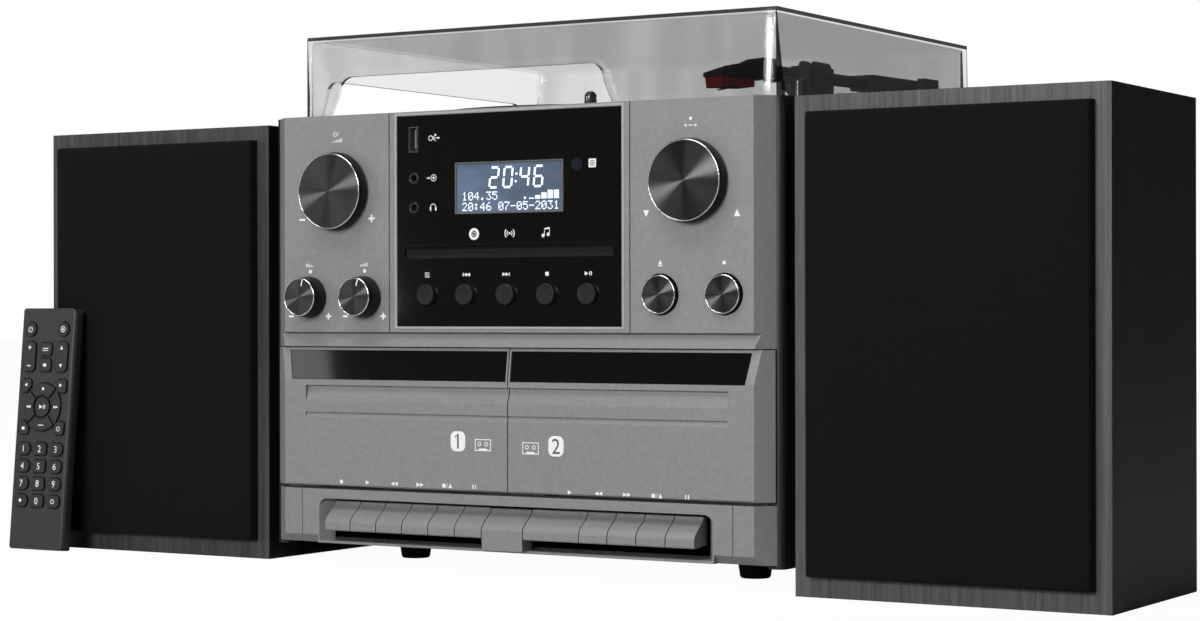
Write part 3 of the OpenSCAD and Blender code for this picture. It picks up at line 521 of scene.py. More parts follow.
def frame_bead(name, edge, widths, depths, material, corner=1.2, around=6):
    """A bead carried round a rectangle with round corners. The profile gives, for each point, how far it
    lies outside the rectangle and its depth Y; each corner is a quarter circle in steps."""
    x0, z0, x1, z1 = edge
    rings = []
    for out, y in zip(widths, depths):
        r = max(corner + out, 0.05)
        inset = r - out
        corners = [(x1 - inset, z0 + inset, -90), (x1 - inset, z1 - inset, 0),
                   (x0 + inset, z1 - inset, 90), (x0 + inset, z0 + inset, 180)]
        a = np.radians(np.concatenate([np.linspace(s, s + 90, around) for _, _, s in corners]))
        cx = np.repeat([c[0] for c in corners], around)
        cz = np.repeat([c[1] for c in corners], around)
        rings.append(np.stack([cx + r * np.cos(a), np.full(len(a), float(y)), cz + r * np.sin(a)], -1))
    faces = quads(len(rings), 4 * around, True)[0]
    return mesh_piece(name, place(np.concatenate(rings)), faces, material, True)


bead_finish = flake_moulding("pale_bead", (0.36, 0.36, 0.37, 1))
panel_bead = frame_bead(
    "panel_bead", PANEL_EDGE, (-1.35, -1.3, -1.0, -0.1, 0.3, 0.35), (0.3, -0.1, -0.32, -0.32, -0.12, 0.1),
    bead_finish, 0.6,
)
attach(panel_bead, "main_unit")

display_glass, display_shader = surface_material("display_glass")
display_where = object_place(display_glass)
glow = noise(display_glass, stretch(display_glass, display_where, (14.0, 14.0, 40.0)), 2.2, Detail=2.0)
glow_tone = tones(display_glass, glow, (0.06, 0.085, 0.13, 1), (0.10, 0.145, 0.235, 1), (0.36, 0.62))
across = node(display_glass, "ShaderNodeSeparateXYZ", {"Vector": display_where})
fade = node(display_glass, "ShaderNodeMapRange", {
    "Value": across.outputs["X"], "From Min": place((DISPLAY_EDGE[0], 0, 0))[0],
    "From Max": place((DISPLAY_EDGE[2], 0, 0))[0], "To Min": 0.84, "To Max": 0.52,
})
fill(display_shader, {
    "Base Color": (0.05, 0.065, 0.09, 1), "Roughness": 0.25, "Specular IOR Level": 0.2,
    "Emission Color": glow_tone, "Emission Strength": fade.outputs["Result"],
})
dress(display_glass, "display_module")
display_surround = grained_plastic("display_surround", (0.10, 0.10, 0.105, 1), 0.45, 900, 0.00003)
display_bead = frame_bead(
    "display_surround", DISPLAY_EDGE, (-1.0, -1.0, 0.0, 0.05), (0.88, 0.45, 0.12, 0.18), display_surround, 0.5
)
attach(display_bead, "main_unit")

# The display's own signs glow: a large clock in slanted seven-bar figures over two rows of dot cells.
# Every dot cell figure is a 5 by 7 pattern, given as seven rows of five bits.
glowing, glowing_shader = surface_material("glowing_figures")
flicker = noise(glowing, object_place(glowing), 300.0)
flicker_tone = tones(glowing, flicker, (0.66, 0.78, 0.95, 1), (0.86, 0.93, 1.0, 1))
fill(glowing_shader, {"Emission Color": flicker_tone, "Emission Strength": 0.9, "Base Color": (0.5, 0.55, 0.6, 1)})

SEVEN_BARS = {"0": "abcdef", "2": "abged", "4": "fgbc", "6": "afgcde"}
DOT_ROWS = {
    "0": (14, 17, 19, 21, 25, 17, 14), "1": (4, 12, 4, 4, 4, 4, 14), "2": (14, 17, 1, 2, 4, 8, 31),
    "3": (31, 2, 4, 2, 1, 17, 14), "4": (2, 6, 10, 18, 31, 2, 2), "5": (31, 16, 30, 1, 1, 17, 14),
    "6": (6, 8, 16, 30, 17, 17, 14), "7": (31, 1, 2, 4, 8, 8, 8),
    ":": (0, 12, 12, 0, 12, 12, 0), "-": (0, 0, 0, 31, 0, 0, 0),
    ".": (0, 0, 0, 0, 0, 12, 12), "_": (0, 0, 0, 0, 0, 0, 31), "=": (0, 0, 0, 0, 31, 31, 31),
    "#": (0, 0, 31, 31, 31, 31, 31), "@": (31, 31, 31, 31, 31, 31, 31), " ": (0,) * 7,
}


def seven_bar(sign, x, z, wide, high, thick, slant=0.1):
    """A figure of seven bars in a box from x, z: the ends are the box's corners and middles, and every
    point moves right by slant times its height."""
    ends = {"a": ((0, 1), (1, 1)), "b": ((1, 1), (1, 0.5)), "c": ((1, 0.5), (1, 0)), "d": ((0, 0), (1, 0)),
            "e": ((0, 0.5), (0, 0)), "f": ((0, 1), (0, 0.5)), "g": ((0, 0.5), (1, 0.5))}
    shapes = []
    for letter in SEVEN_BARS[sign]:
        p, q = (np.array(e) * (wide, high) for e in ends[letter])
        gap = (q - p) / np.linalg.norm(q - p) * thick * 0.42
        points, faces = stroke(p + gap, q - gap, thick)
        points[:, 0] += slant * points[:, 1]
        shapes.append((points + (x, z), faces))
    return shapes


def dot_cells(text, x, z, cell):
    """A row of 5 by 7 figures from x, z, each dot a square of 0.92 of its cell."""
    shapes = []
    for place_in_row, sign in enumerate(text):
        for row, bits in enumerate(DOT_ROWS[sign]):
            for column in range(5):
                if bits >> (4 - column) & 1:
                    px, pz = x + (6 * place_in_row + column) * cell, z + (6 - row) * cell
                    shapes.append(bar(px, pz, px + 0.92 * cell, pz + 0.92 * cell))
    return shapes


clock = []
for sign, x in zip("2046", (-11.5, -2.6, 8.0, 16.9)):
    clock += seven_bar(sign, x, 209.0, 5.2, 10.8, 1.25)
clock += [bar(4.9, 211.4, 6.1, 212.6), bar(5.4, 215.4, 6.6, 216.6)]
clock += dot_cells("104.35    ._=#@@", -29.2, 202.3, 0.655) + dot_cells("20:46 07-05-2031", -29.2, 196.6, 0.655)
printed("display_signs", clock, "main_unit", glowing, DISPLAY_FACE_Y - 0.05)

# Signs printed on the panel: plain pictures of a plug, a note, headphones, a disc, waves and a player's
# keys, and a white window beside the remote receiver's dark red lens.
panel_signs = [
    arc(-49.5, 237.0, 1.3, 0.4), bar(-48.3, 236.8, -44.6, 237.2), stroke((-48.0, 237.1), (-46.6, 238.6), 0.4),
    stroke((-48.0, 236.9), (-46.2, 235.4), 0.4), dot(-46.3, 238.7, 0.6), arrowhead(-44.0, 237.0, 1.3, 0),
    arc(-47.6, 215.2, 1.7, 0.4), dot(-47.6, 215.2, 0.7), bar(-52.4, 215.0, -50.2, 215.4),
    arrowhead(-50.3, 215.2, 1.4, 0),
    arc(-47.9, 199.1, 1.8, 0.4, 0, 180), bar(-50.1, 197.3, -49.2, 199.4), bar(-46.6, 197.3, -45.7, 199.4),
    arc(-21.0, 184.0, 2.5, 1.5), arc(-21.0, 184.0, 0.9, 0.35),
    *[arc(2.0, 184.0, r, 0.55, s, 90, 10) for r in (1.6, 3.0) for s in (-45, 135)], dot(2.0, 184.0, 0.65),
    dot(23.4, 182.5, 1.0), dot(26.6, 183.1, 1.0), bar(24.0, 182.5, 24.4, 186.2), bar(27.2, 183.1, 27.6, 186.8),
    stroke((24.0, 185.9), (27.6, 186.6), 0.8),
]
for index, x in enumerate(BUTTON_XS):
    z = 162.0
    if index == 0:
        panel_signs += [bar(x - 1.6, z + h, x + 1.6, z + h + 0.4) for h in (-1.3, -0.2, 0.9)]
    elif index in (1, 2):
        turn, step = (180, -1) if index == 1 else (0, 1)
        panel_signs += [arrowhead(x - step * 1.6, z, 2.1, turn), arrowhead(x + step * 0.4, z, 2.1, turn),
                        bar(x + step * 1.8 - 0.25, z - 1.05, x + step * 1.8 + 0.25, z + 1.05)]
    elif index == 3:
        panel_signs += [bar(x - 1.05, z - 1.05, x + 1.05, z + 1.05)]
    else:
        panel_signs += [arrowhead(x - 1.0, z, 2.3, 0), bar(x + 0.7, z - 1.1, x + 1.2, z + 1.1),
                        bar(x + 1.8, z - 1.1, x + 2.3, z + 1.1)]
printed("panel_signs", panel_signs, "main_unit", white_ink, 0.2 - PRINT_PROUD)
printed("white_window", [bar(51.9, 218.0, 56.5, 222.6)], "main_unit", white_ink, 0.2 - PRINT_PROUD)
dark_ink = ink_finish("dark_ink", (0.03, 0.03, 0.032, 1))
window_signs = [arc(54.2, 220.3, 1.35, 0.4), dot(54.2, 220.3, 0.55)]
printed("window_signs", window_signs, "main_unit", dark_ink, 0.2 - 2 * PRINT_PROUD)
lens_ink = ink_finish("receiver_lens", (0.012, 0.014, 0.03, 1), 0.15)
printed("receiver_lens", [dot(44.5, 220.0, 3.4)], "main_unit", lens_ink, 0.2 - PRINT_PROUD)

# Bus socket: a dark shell round a grey tongue.
shell_dark = grained_plastic("dark_shell", (0.05, 0.05, 0.052, 1), 0.3, 500, 0.00001, 0.4)
shell = frame_bead(
    "bus_shell", (-64.4, 230.0, -58.6, 243.4), (-0.55, -0.5, -0.15, 0.0), (9.0, 0.55, 0.12, 0.5), shell_dark, 0.5
)
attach(shell, "main_unit")
tongue_finish = grained_plastic("grey_tongue", (0.16, 0.16, 0.165, 1), 0.4, 600, 0.00001)
tongue_points = [(-60.3 + side * 0.6 * k, y, z) for y, k in ((1.0, 0.6), (1.5, 1.0), (14.0, 1.0))
                 for side, z in ((-1, 231.4), (1, 231.4), (1, 242.0), (-1, 242.0))]
tongue_faces = [(0, 1, 2, 3)] + [
    (a + i, a + 4 + i, a + 4 + (i + 1) % 4, a + (i + 1) % 4) for a in (0, 4) for i in range(4)
]
tongue = mesh_piece("bus_tongue", place(tongue_points), tongue_faces, tongue_finish)
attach(tongue, "main_unit")

# Two felt lips that close the disc slot.
slot_felt = grained_plastic("slot_felt", (0.017, 0.017, 0.0175, 1), 0.9, 2200, 0.0003, 0.1)
lips = [bar(-66.9, low, 66.9, high) for low, high in ((171.15, 173.72), (173.88, 176.45))]
printed("slot_felt", lips, "main_unit", slot_felt, 1.7)

# Dark rings round the two jack sockets, with the socket's barrel inside.
jack_plastic = grained_plastic("jack_ring", (0.022, 0.022, 0.022, 1), 0.3, 700, 0.00002)
for number, z in enumerate(JACK_ZS):
    ring = turned(
        f"jack_ring_{number}",
        [(3.15, 0.6), (3.15, 0.0), (2.8, -0.25), (2.2, -0.3), (1.95, 0.0), (1.75, 0.8), (1.72, 14.0), (0, 14.2)],
        (JACK_X, 0, z), "y", jack_plastic,
    )
    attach(ring, "main_unit")

button_finish = grained_plastic("soft_black_button", (0.010, 0.010, 0.0095, 1), 0.42, 700, 0.00002, 0.25)
for name, x in zip(DOT_BUTTONS, BUTTON_XS):
    cap = turned(
        name + "_cap",
        [(0, -2.2), (2.2, -2.24), (4.0, -2.36), (4.9, -2.48), (5.3, -2.5), (5.6, -2.38), (5.73, -2.1),
         (5.75, -1.7), (5.75, 4.4), (7.1, 4.5), (7.1, 7.3), (0, 7.35)],
        (x, 0, BUTTON_Z), "y", button_finish, 56,
    )
    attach(cap, name)
    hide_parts(name)

# ---- Knobs and push buttons
# Turned aluminium, dyed black and brushed in circles, with a bright cut edge round the face. The big
# ones also press in. The two tone knobs have a white pointer.
KNOBS = {
    "volume_knob": ((VOLUME_X, 209.3), 22.0, 8.0, 1.6), "select_knob": ((SELECT_X, 209.3), 22.0, 8.0, 1.6),
    "bass_knob": ((TONE_X[0], 150.2), 11.7, 10.4, 0.6), "treble_knob": ((TONE_X[1], 150.2), 11.7, 10.4, 0.6),
}
PUSHES = {"eject_button": (95.5, 150.6), "record_button": (133.2, 150.6)}
RING_DENSITY = 5200.0 / 22.5 * 8
POINTER_TURN = {"bass_knob": 14.0, "treble_knob": 17.0}


def spun_metal(name, colour):
    """Brushed in circles: fine rings along the lathe's profile, with the highlight drawn out across the
    brushing through the UV's round direction."""
    material, shader = surface_material(name)
    where = node(material, "ShaderNodeTexCoord").outputs["UV"]
    rings = noise(material, stretch(material, where, (3.0, RING_DENSITY, 1.0)), 1.0, Detail=2.0)
    tone = tones(material, rings, scaled(colour, 0.75), scaled(colour, 1.3))
    direction = node(material, "ShaderNodeTangent", direction_type="UV_MAP", uv_map="round")
    fill(shader, {
        "Base Color": tone, "Tangent": direction.outputs["Tangent"], "Metallic": 1.0, "Roughness": 0.3,
        "Anisotropic": 1.0, "Anisotropic Rotation": 0.25,
    })
    return material


bright_cut = grained_plastic("bright_cut", (0.72, 0.72, 0.73, 1), 0.18, 900, 0.00001, 0.5, metal=1.0)
flank_black = grained_plastic("dyed_flank", (0.005, 0.005, 0.0052, 1), 0.4, 500, 0.00002, 0.15)


def knob(name, at, radius, out, gap, body, taper=0.35):
    """Face, bright cut edge and flank as three turned pieces on one axis; the flank stands for the node."""
    centre = (at[0], 0.0, at[1])
    rim_r, dome = radius - taper, 0.02 * radius
    face_r = rim_r - 0.7
    radii = np.linspace(0.0, face_r, 24)
    face = turned(
        name + "_face", [(r, -out + 0.3 - dome * (1 - (r / face_r) ** 2)) for r in radii],
        centre, "y", spun_metal(name + "_spun", (0.075, 0.075, 0.076, 1)), 96,
    )
    edge = turned(
        name + "_edge",
        [(face_r, -out + 0.3), (face_r + 0.1, -out), (rim_r - 0.25, -out), (rim_r, -out + 0.3)],
        centre, "y", bright_cut, 96,
    )
    flank = turned(
        name + "_flank",
        [(rim_r, -out + 0.3), (rim_r + 0.05, -out + 0.5), (radius, -gap - 0.3), (radius - 0.3, -gap),
         (radius - 2, -gap), (radius - 2, -gap - 1.5), (5, -gap - 1.5), (5, -gap), (2.95, -gap), (2.95, 12)],
        centre, "y", flank_black, 96,
    )
    for piece in (face, edge, flank):
        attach(piece, body)
    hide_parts(name)


for name, (at, radius, out, gap) in KNOBS.items():
    knob(name, at, radius, out, gap, name, 1.0 if radius < 15 else 0.8)
for name, at in PUSHES.items():
    knob(name, at, 10.5, 2.8, -3.4, name)
for name, turn in POINTER_TURN.items():
    (x, z), radius, out, _ = KNOBS[name]
    a = math.radians(90 - turn)
    root, tip = ((x + q * math.cos(a), z + q * math.sin(a)) for q in (0.55 * radius, 0.86 * radius))
    printed(name + "_pointer", [stroke(root, tip, 0.75)], name, white_ink, -out + 0.1)

dress(
    grained_plastic("plunger_steel", (0.42, 0.42, 0.43, 1), 0.3, 600, 0.00002, 0.6, metal=1.0),
    "volume_plunger", "select_plunger",
)

# ---- Door signs
# White tiles with the deck's number, a plain picture of a cassette beside each, and the signs of the keys
# printed along the foot of each door. The signs ride on the doors.
DOOR_SIGNS = {
    "deck_1_door": (46.8, [(-110.5, "record"), (-92.4, "play"), (-74.2, "back"), (-56.9, "forward"),
                           (-38.9, "stop"), (-21.1, "pause")]),
    "deck_2_door": (45.8, [(39.9, "play"), (57.7, "back"), (75.1, "forward"), (93.2, "stop"), (111.2, "pause")]),
}
TAPE_OUTLINE = ((-5.2, -3.2, 5.2, -2.7), (-5.2, 2.7, 5.2, 3.2), (-5.2, -2.7, -4.7, 2.7), (4.7, -2.7, 5.2, 2.7))
TILES = {"deck_1_door": ("1", -31.7, 71.3, -15.4, 69.6), "deck_2_door": ("2", 31.3, 70.1, 15.2, 68.6)}


def tile_shape(x, z, wide, high, r):
    """A rectangle with round corners."""
    a = np.radians(np.arange(0, 360, 10))
    sx, sz = np.sign(np.cos(a + 1e-6)), np.sign(np.sin(a + 1e-6))
    return as_shape(np.stack([x + sx * (wide / 2 - r) + r * np.cos(a), z + sz * (high / 2 - r) + r * np.sin(a)], -1))


for body, (z, row) in DOOR_SIGNS.items():
    shapes = []
    for x, kind in row:
        if kind == "record":
            shapes += [dot(x, z, 1.15)]
        elif kind == "play":
            shapes += [arrowhead(x, z, 2.5, 0)]
        elif kind in ("back", "forward"):
            turn, step = (180, -1) if kind == "back" else (0, 1)
            shapes += [arrowhead(x - step * 1.2, z, 2.4, turn), arrowhead(x + step * 1.2, z, 2.4, turn)]
        elif kind == "stop":
            shapes += [bar(x - 3.2, z - 1.1, x - 1.0, z + 1.1), stroke((x - 0.5, z - 1.2), (x + 0.5, z + 1.2), 0.35),
                       arrowhead(x + 2.1, z + 0.3, 2.2, 90), bar(x + 1.0, z - 1.2, x + 3.2, z - 0.8)]
        else:
            shapes += [bar(x - 1.2, z - 1.15, x - 0.45, z + 1.15), bar(x + 0.45, z - 1.15, x + 1.2, z + 1.15)]
    sign, tile_x, tile_z, tape_x, tape_z = TILES[body]
    shapes += [tile_shape(tile_x, tile_z, 9.6, 11.0, 3.4)]
    shapes += [bar(tape_x + a, tape_z + b, tape_x + c, tape_z + d) for a, b, c, d in TAPE_OUTLINE]
    shapes += [arc(tape_x - 2.2, tape_z + 0.5, 0.95, 0.45), arc(tape_x + 2.2, tape_z + 0.5, 0.95, 0.45),
               bar(tape_x - 2.6, tape_z - 2.7, tape_x + 2.6, tape_z - 1.9)]
    printed(body + "_signs", shapes, body, white_ink, -PRINT_PROUD)
    figure_ink = ink_finish(body + "_figure_ink", (0.10, 0.10, 0.105, 1))
    figure = [numeral(sign, tile_x, tile_z, 8.2)]
    if sign == "1":
        top, left = figure[0][0][:, 1].max(), figure[0][0][:, 0].min()
        figure += [stroke((left - 1.3, top - 1.9), (left - 0.25, top - 0.7), 0.7)]
    printed(body + "_figure", figure, body, figure_ink, -2 * PRINT_PROUD)

# ---- Deck
# Grained black deck plate with a sunk platter, its ribbed mat, a straight black arm with a dark red
# cartridge, a chrome lift bar and a bright speed switch.
dress(grained_plastic("deck_plastic", (0.013, 0.013, 0.014, 1), 0.42, 1600, 0.00008), "deck_plate")
dress(
    grained_plastic("arm_black", (0.009, 0.009, 0.0095, 1), 0.3, 1500, 0.00003, 0.4),
    "tonearm_base", "tonearm_yoke", "tonearm", "cue_lever",
)
dress(grained_plastic("cartridge_red", (0.16, 0.006, 0.012, 1), 0.25, 800, 0.00002, 0.5, 0.0002), "cartridge")
chrome = grained_plastic("chrome", (0.62, 0.62, 0.63, 1), 0.14, 600, 0.00001, 0.6, 0.0002, metal=1.0)
dress(chrome, "cue_lift", "speed_switch")
SPIN_AT = (-38.0, 150.0)
PLATTER_TOP = 256.0

platter_metal, platter_shader = surface_material("platter_metal")
turning = stretch(platter_metal, object_place(platter_metal), (25.0, 25.0, 3500.0))
marks_tone = tones(platter_metal, noise(platter_metal, turning, 1.0), (0.05, 0.05, 0.052, 1), (0.11, 0.11, 0.114, 1))
fill(platter_shader, {"Base Color": marks_tone, "Metallic": 0.7, "Roughness": 0.35})
dress(platter_metal, "platter")

mat_rubber = grained_plastic("mat_rubber", (0.014, 0.014, 0.0145, 1), 0.8, 2200, 0.0001, 0.2, 0.0002)
mat_profile = [(9.4, 0.0), (9.4, 1.5)]
for ring_r in np.arange(14.0, 94.0, 4.0):
    mat_profile += [(ring_r, 1.5), (ring_r + 0.3, 1.15), (ring_r + 0.9, 1.15), (ring_r + 1.2, 1.5)]
mat_profile += [(95.0, 1.5), (96.4, 1.7), (97.0, 1.4), (97.0, 0.0)]
mat_ribs = turned("slip_mat_ribs", mat_profile, (*SPIN_AT, PLATTER_TOP), "z", mat_rubber, 128)
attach(mat_ribs, "platter")
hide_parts("slip_mat")
spindle_cap = turned(
    "spindle_cap",
    [(8.8, 1.75), (8.4, 1.95), (4.2, 2.0), (3.66, 2.4), (3.64, 13.4), (3.3, 14.6), (2.4, 16.0), (1.2, 16.6),
     (0, 16.7)],
    (*SPIN_AT, PLATTER_TOP), "z", chrome,
)
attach(spindle_cap, "platter")

DECK_SCREWS = [(-140, 262), (118, 262), (66, 40), (-128, 40)]
for number, (x, y) in enumerate(DECK_SCREWS):
    head = turned(
        f"deck_screw_{number}", [(0, 0.15), (0.8, 0.2), (1.0, 0.55), (1.9, 0.6), (2.6, 0.3), (2.7, -0.2)],
        (x, y, 252.0), "z", screw_steel, 24,
    )
    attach(head, "main_unit")

# ---- Dust cover
# Smoked acrylic: mostly clear, with a grey cast and a mirror sheen that rises towards grazing angles. The
# cast is painted heavier in the front and rear walls and in faces that point up or down than in the side
# walls: painted shade. Faint streaks in the cast are painted reflections, and the rims, corners and low
# faces are painted nearly black: painted shade.
COVER_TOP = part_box("dust_cover")[1][2]
# Painted shade: the outside rim within the first depth of the top, and faces that point up or down below the second,
# are coloured nearly black.
COVER_PAINTED_RIM, COVER_UNDER = 0.0022, 0.006
cover_acrylic, plain_shader = surface_material("smoked_acrylic")
cover_acrylic.node_tree.nodes.remove(plain_shader)


def sums(kind, first, second):
    """One arithmetic node of the acrylic and its result."""
    return node(cover_acrylic, "ShaderNodeMath", {0: first, 1: second}, operation=kind).outputs[0]


def blend(share, first, second):
    """Two colours of the acrylic mixed by a share."""
    mixed = node(cover_acrylic, "ShaderNodeMix", {"Factor": share, 6: first, 7: second}, data_type="RGBA")
    return mixed.outputs[2]


cover_where = object_place(cover_acrylic)
# Painted reflection: stretched noise streaks in the grey cast stand in for soft reflections in the walls.
painted_reflection_streaks = noise(cover_acrylic, stretch(cover_acrylic, cover_where, (26.0, 9.0, 5.0)), 1.0, Detail=2.5)
cast = tones(cover_acrylic, painted_reflection_streaks, (0.81, 0.81, 0.816, 1), (0.92, 0.92, 0.925, 1), (0.38, 0.66))
surface = node(cover_acrylic, "ShaderNodeNewGeometry").outputs
outside = sums("SUBTRACT", 1.0, surface["Backfacing"])
facing_way = node(cover_acrylic, "ShaderNodeSeparateXYZ", {"Vector": surface["Normal"]})
sideways, forward, upward = (facing_way.outputs[axis] for axis in "XYZ")
# Painted light: walls that face sideways are cleared towards white, so the front and rear walls keep a heavier cast.
painted_side_light_share = sums("MULTIPLY", sums("MULTIPLY", sideways, sideways), 0.95)
height = node(cover_acrylic, "ShaderNodeSeparateXYZ", {"Vector": cover_where}).outputs["Z"]
steep = sums("ABSOLUTE", upward, 0.0)
# Painted shade: the outside of the top rim and of the rounded upright corners, and the low faces that point up or
# down, are coloured nearly black where the acrylic's edges look dark.
rim = sums("MULTIPLY", sums("GREATER_THAN", height, COVER_TOP - COVER_PAINTED_RIM), sums("LESS_THAN", steep, 0.9))
corner = sums("MULTIPLY", sums("GREATER_THAN", sums("ABSOLUTE", sums("SUBTRACT", sideways, 0.16), 0.0), 0.5),
              sums("GREATER_THAN", sums("ABSOLUTE", sums("ADD", forward, 0.1), 0.0), 0.15))
cut = sums("MULTIPLY", sums("LESS_THAN", height, COVER_TOP - COVER_UNDER), sums("GREATER_THAN", steep, 0.5))
edges = sums("MAXIMUM", sums("MULTIPLY", sums("MAXIMUM", rim, corner), outside), cut)
walls = blend(painted_side_light_share, cast, (1, 1, 1, 1))
# Painted shade: faces that point up or down are darkened towards a greyer cast.
cast_with_painted_shade = blend(sums("MULTIPLY", steep, steep), walls, (0.76, 0.76, 0.765, 1))
clear = node(cover_acrylic, "ShaderNodeBsdfTransparent", {"Color": blend(edges, cast_with_painted_shade, (0.07, 0.07, 0.072, 1))})
rounded = node(cover_acrylic, "ShaderNodeBevel", {"Radius": 0.007}, samples=8).outputs["Normal"]
sheen = node(cover_acrylic, "ShaderNodeBsdfGlossy", {
    "Color": (0.9, 0.9, 0.9, 1), "Roughness": 0.04, "Normal": rounded,
})
facing = node(cover_acrylic, "ShaderNodeLayerWeight", {"Blend": 0.12}).outputs["Fresnel"]
upright = sums("SUBTRACT", 1.0, sums("MULTIPLY", upward, upward))
share = sums("MULTIPLY", sums("ADD", sums("MULTIPLY", facing, 0.4), 0.07), upright)
film = node(cover_acrylic, "ShaderNodeMixShader", {
    "Fac": share, 1: clear.outputs["BSDF"], 2: sheen.outputs["BSDF"],
})
fill(cover_acrylic.node_tree.nodes["Material Output"], {"Surface": film.outputs["Shader"]})
dress(cover_acrylic, "dust_cover")

# ---- Speakers
# Boxes in the same black film with a greyer wood front, a cloth grille over a padded board, the driver
# dark behind it, and a spring terminal cup at the back. The two wood fronts are one finish, given a
# darker tone on the left as painted shade and a lighter one on the right as painted light.
# Each speaker's last entry is its wood front's tone: darker on the left as painted shade, lighter on the right as
# painted light.
SPEAKERS = {"left": (-333.0, 8.0, (0.042, 0.042, 0.043, 1)), "right": (182.1, -16.5, (0.076, 0.076, 0.078, 1))}
SPEAKER_W, SPEAKER_H, SPEAKER_D, GRILLE_T = 165.0, 249.0, 121.0, 6.5
# Half width, half height and depth of the four rings of points that make a terminal cup.
CUP_RINGS = ((19.9, 11.9, 3.9), (19.9, 11.9, 0.05), (18.0, 10.0, 0.05), (17.0, 9.0, 3.2))

speaker_film = film_finish("black_ash_speaker", FILM_BLACK, (0.016, 0.016, 0.0165, 1))
cone_paper = grained_plastic("cone_paper", (0.02, 0.02, 0.021, 1), 0.7, 700, 0.0003, 0.2)
cloth, cloth_shader = surface_material("grille_cloth")
cloth_where = object_place(cloth)
threads = []
for axis in ("X", "Z"):
    wave = node(cloth, "ShaderNodeTexWave", {"Vector": cloth_where, "Scale": 480.0, "Distortion": 0.4},
                bands_direction=axis)
    threads.append(wave.outputs["Fac"])
weave = node(cloth, "ShaderNodeMath", {0: threads[0], 1: threads[1]}, operation="MULTIPLY").outputs[0]
weave_tone = tones(cloth, weave, (0.002, 0.0021, 0.0024, 1), (0.009, 0.009, 0.0105, 1))
weave_bump = node(cloth, "ShaderNodeBump", {"Strength": 0.4, "Distance": 0.0002, "Height": weave})
fill(cloth_shader, {
    "Base Color": weave_tone, "Normal": weave_bump.outputs["Normal"], "Roughness": 0.85,
    "Specular IOR Level": 0.12, "Sheen Weight": 0.04, "Sheen Roughness": 0.4,
})


def padded_board(name, x0, z0, x1, z1, front, back, r, material):
    """A board with a soft front edge: within r of an edge the face falls back by r (1 - sqrt(1 - e^2)),
    where e runs from nought at that distance to one at the edge. The sides go straight to the back."""
    ease = np.concatenate([1 - np.cos(np.linspace(0, math.pi / 2, 7)[:-1]), [1.0]])

    def line(a, b):
        return np.concatenate([a + r * ease, np.linspace(a + r, b - r, 12)[1:-1], (b - r * ease)[::-1]])

    def fall(v, a, b):
        return np.clip(np.maximum((a + r - v) / r, (v - b + r) / r), 0, 1)

    xs, zs = line(x0, x1), line(z0, z1)
    gx, gz = np.meshgrid(xs, zs, indexing="ij")
    e = np.clip(np.sqrt(fall(gx, x0, x1) ** 2 + fall(gz, z0, z1) ** 2), 0, 1)
    gy = front + r * (1 - np.sqrt(1 - e**2))
    m, n = len(xs), len(zs)
    points = np.stack([gx, gy, gz], -1).reshape(-1, 3)
    faces = quads(m, n)[0][:, [0, 3, 2, 1]]
    rim = [i * n for i in range(m)] + [(m - 1) * n + j for j in range(1, n)]
    rim += [i * n + n - 1 for i in range(m - 2, -1, -1)] + [j for j in range(n - 2, 0, -1)]
    behind = points[rim].copy()
    behind[:, 1] = back
    k, count = len(points), len(rim)
    skirt = [(rim[(i + 1) % count], rim[i], k + i, k + (i + 1) % count) for i in range(count)]
    return mesh_piece(name, place(np.concatenate([points, behind])), [*faces.tolist(), *skirt], material, True)


for side, (x0, front, tone) in SPEAKERS.items():
    dress(speaker_film, side + "_speaker_case")
    dress(cone_paper, side + "_speaker_driver")
    # The front's tone differs by side: painted shade on the left, painted light on the right.
    front_painted_light_finish = film_finish(side + "_front_wood", scaled(tone, 0.62), scaled(tone, 1.5), (1500, 60, 22))
    border = frame_bead(
        side + "_front_frame", (x0, 0.0, x0 + SPEAKER_W, SPEAKER_H), (-14.0, -0.25, 0.0, 0.0),
        (front - 0.06, front - 0.06, front + 0.1, front + 0.2), front_painted_light_finish, 0.3, 3,
    )
    for polygon in border.data.polygons:
        polygon.use_smooth = False
    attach(border, side + "_speaker")
    pad = padded_board(
        side + "_grille_cloth", x0 + 8.2, 10.5, x0 + SPEAKER_W - 8.2, SPEAKER_H - 8.4,
        front - GRILLE_T - 0.2, front - 0.1, 2.0, cloth,
    )
    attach(pad, side + "_grille")
    pegs = [(x, z) for x in (x0 + 16, x0 + SPEAKER_W - 16) for z in (22.0, SPEAKER_H - 22)]
    for number, (x, z) in enumerate(pegs):
        peg = turned(
            f"{side}_grille_peg_{number}", [(3.0, -1.2), (3.0, 5.2), (2.4, 6.0), (0, 6.0)],
            (x, front, z), "y", socket_plastic, 24,
        )
        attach(peg, side + "_grille")
    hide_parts(side + "_speaker_grille")
    back_y = front + SPEAKER_D
    middle = x0 + SPEAKER_W / 2
    cup_points = [(middle + sx * wide, back_y - deep, 52 + sz * high)
                  for wide, high, deep in CUP_RINGS for sx, sz in ((-1, -1), (1, -1), (1, 1), (-1, 1))]
    cup_faces = [(a + i, a + (i + 1) % 4, a + 4 + (i + 1) % 4, a + 4 + i) for a in (0, 4, 8) for i in range(4)]
    cup = mesh_piece(side + "_terminal_cup", place(cup_points), cup_faces + [(12, 13, 14, 15)], socket_plastic)
    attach(cup, side + "_speaker")
    for number, (step, colour) in enumerate(((-7.5, ring_colours[0]), (7.5, rear_plastic))):
        clip = turned(
            f"{side}_terminal_clip_{number}", [(0, 0.0), (3.0, 0.0), (3.4, -0.4), (3.5, -1.5), (3.5, -3.3)],
            (middle + step, back_y - 0.1, 52), "y", colour, 32,
        )
        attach(clip, side + "_speaker")

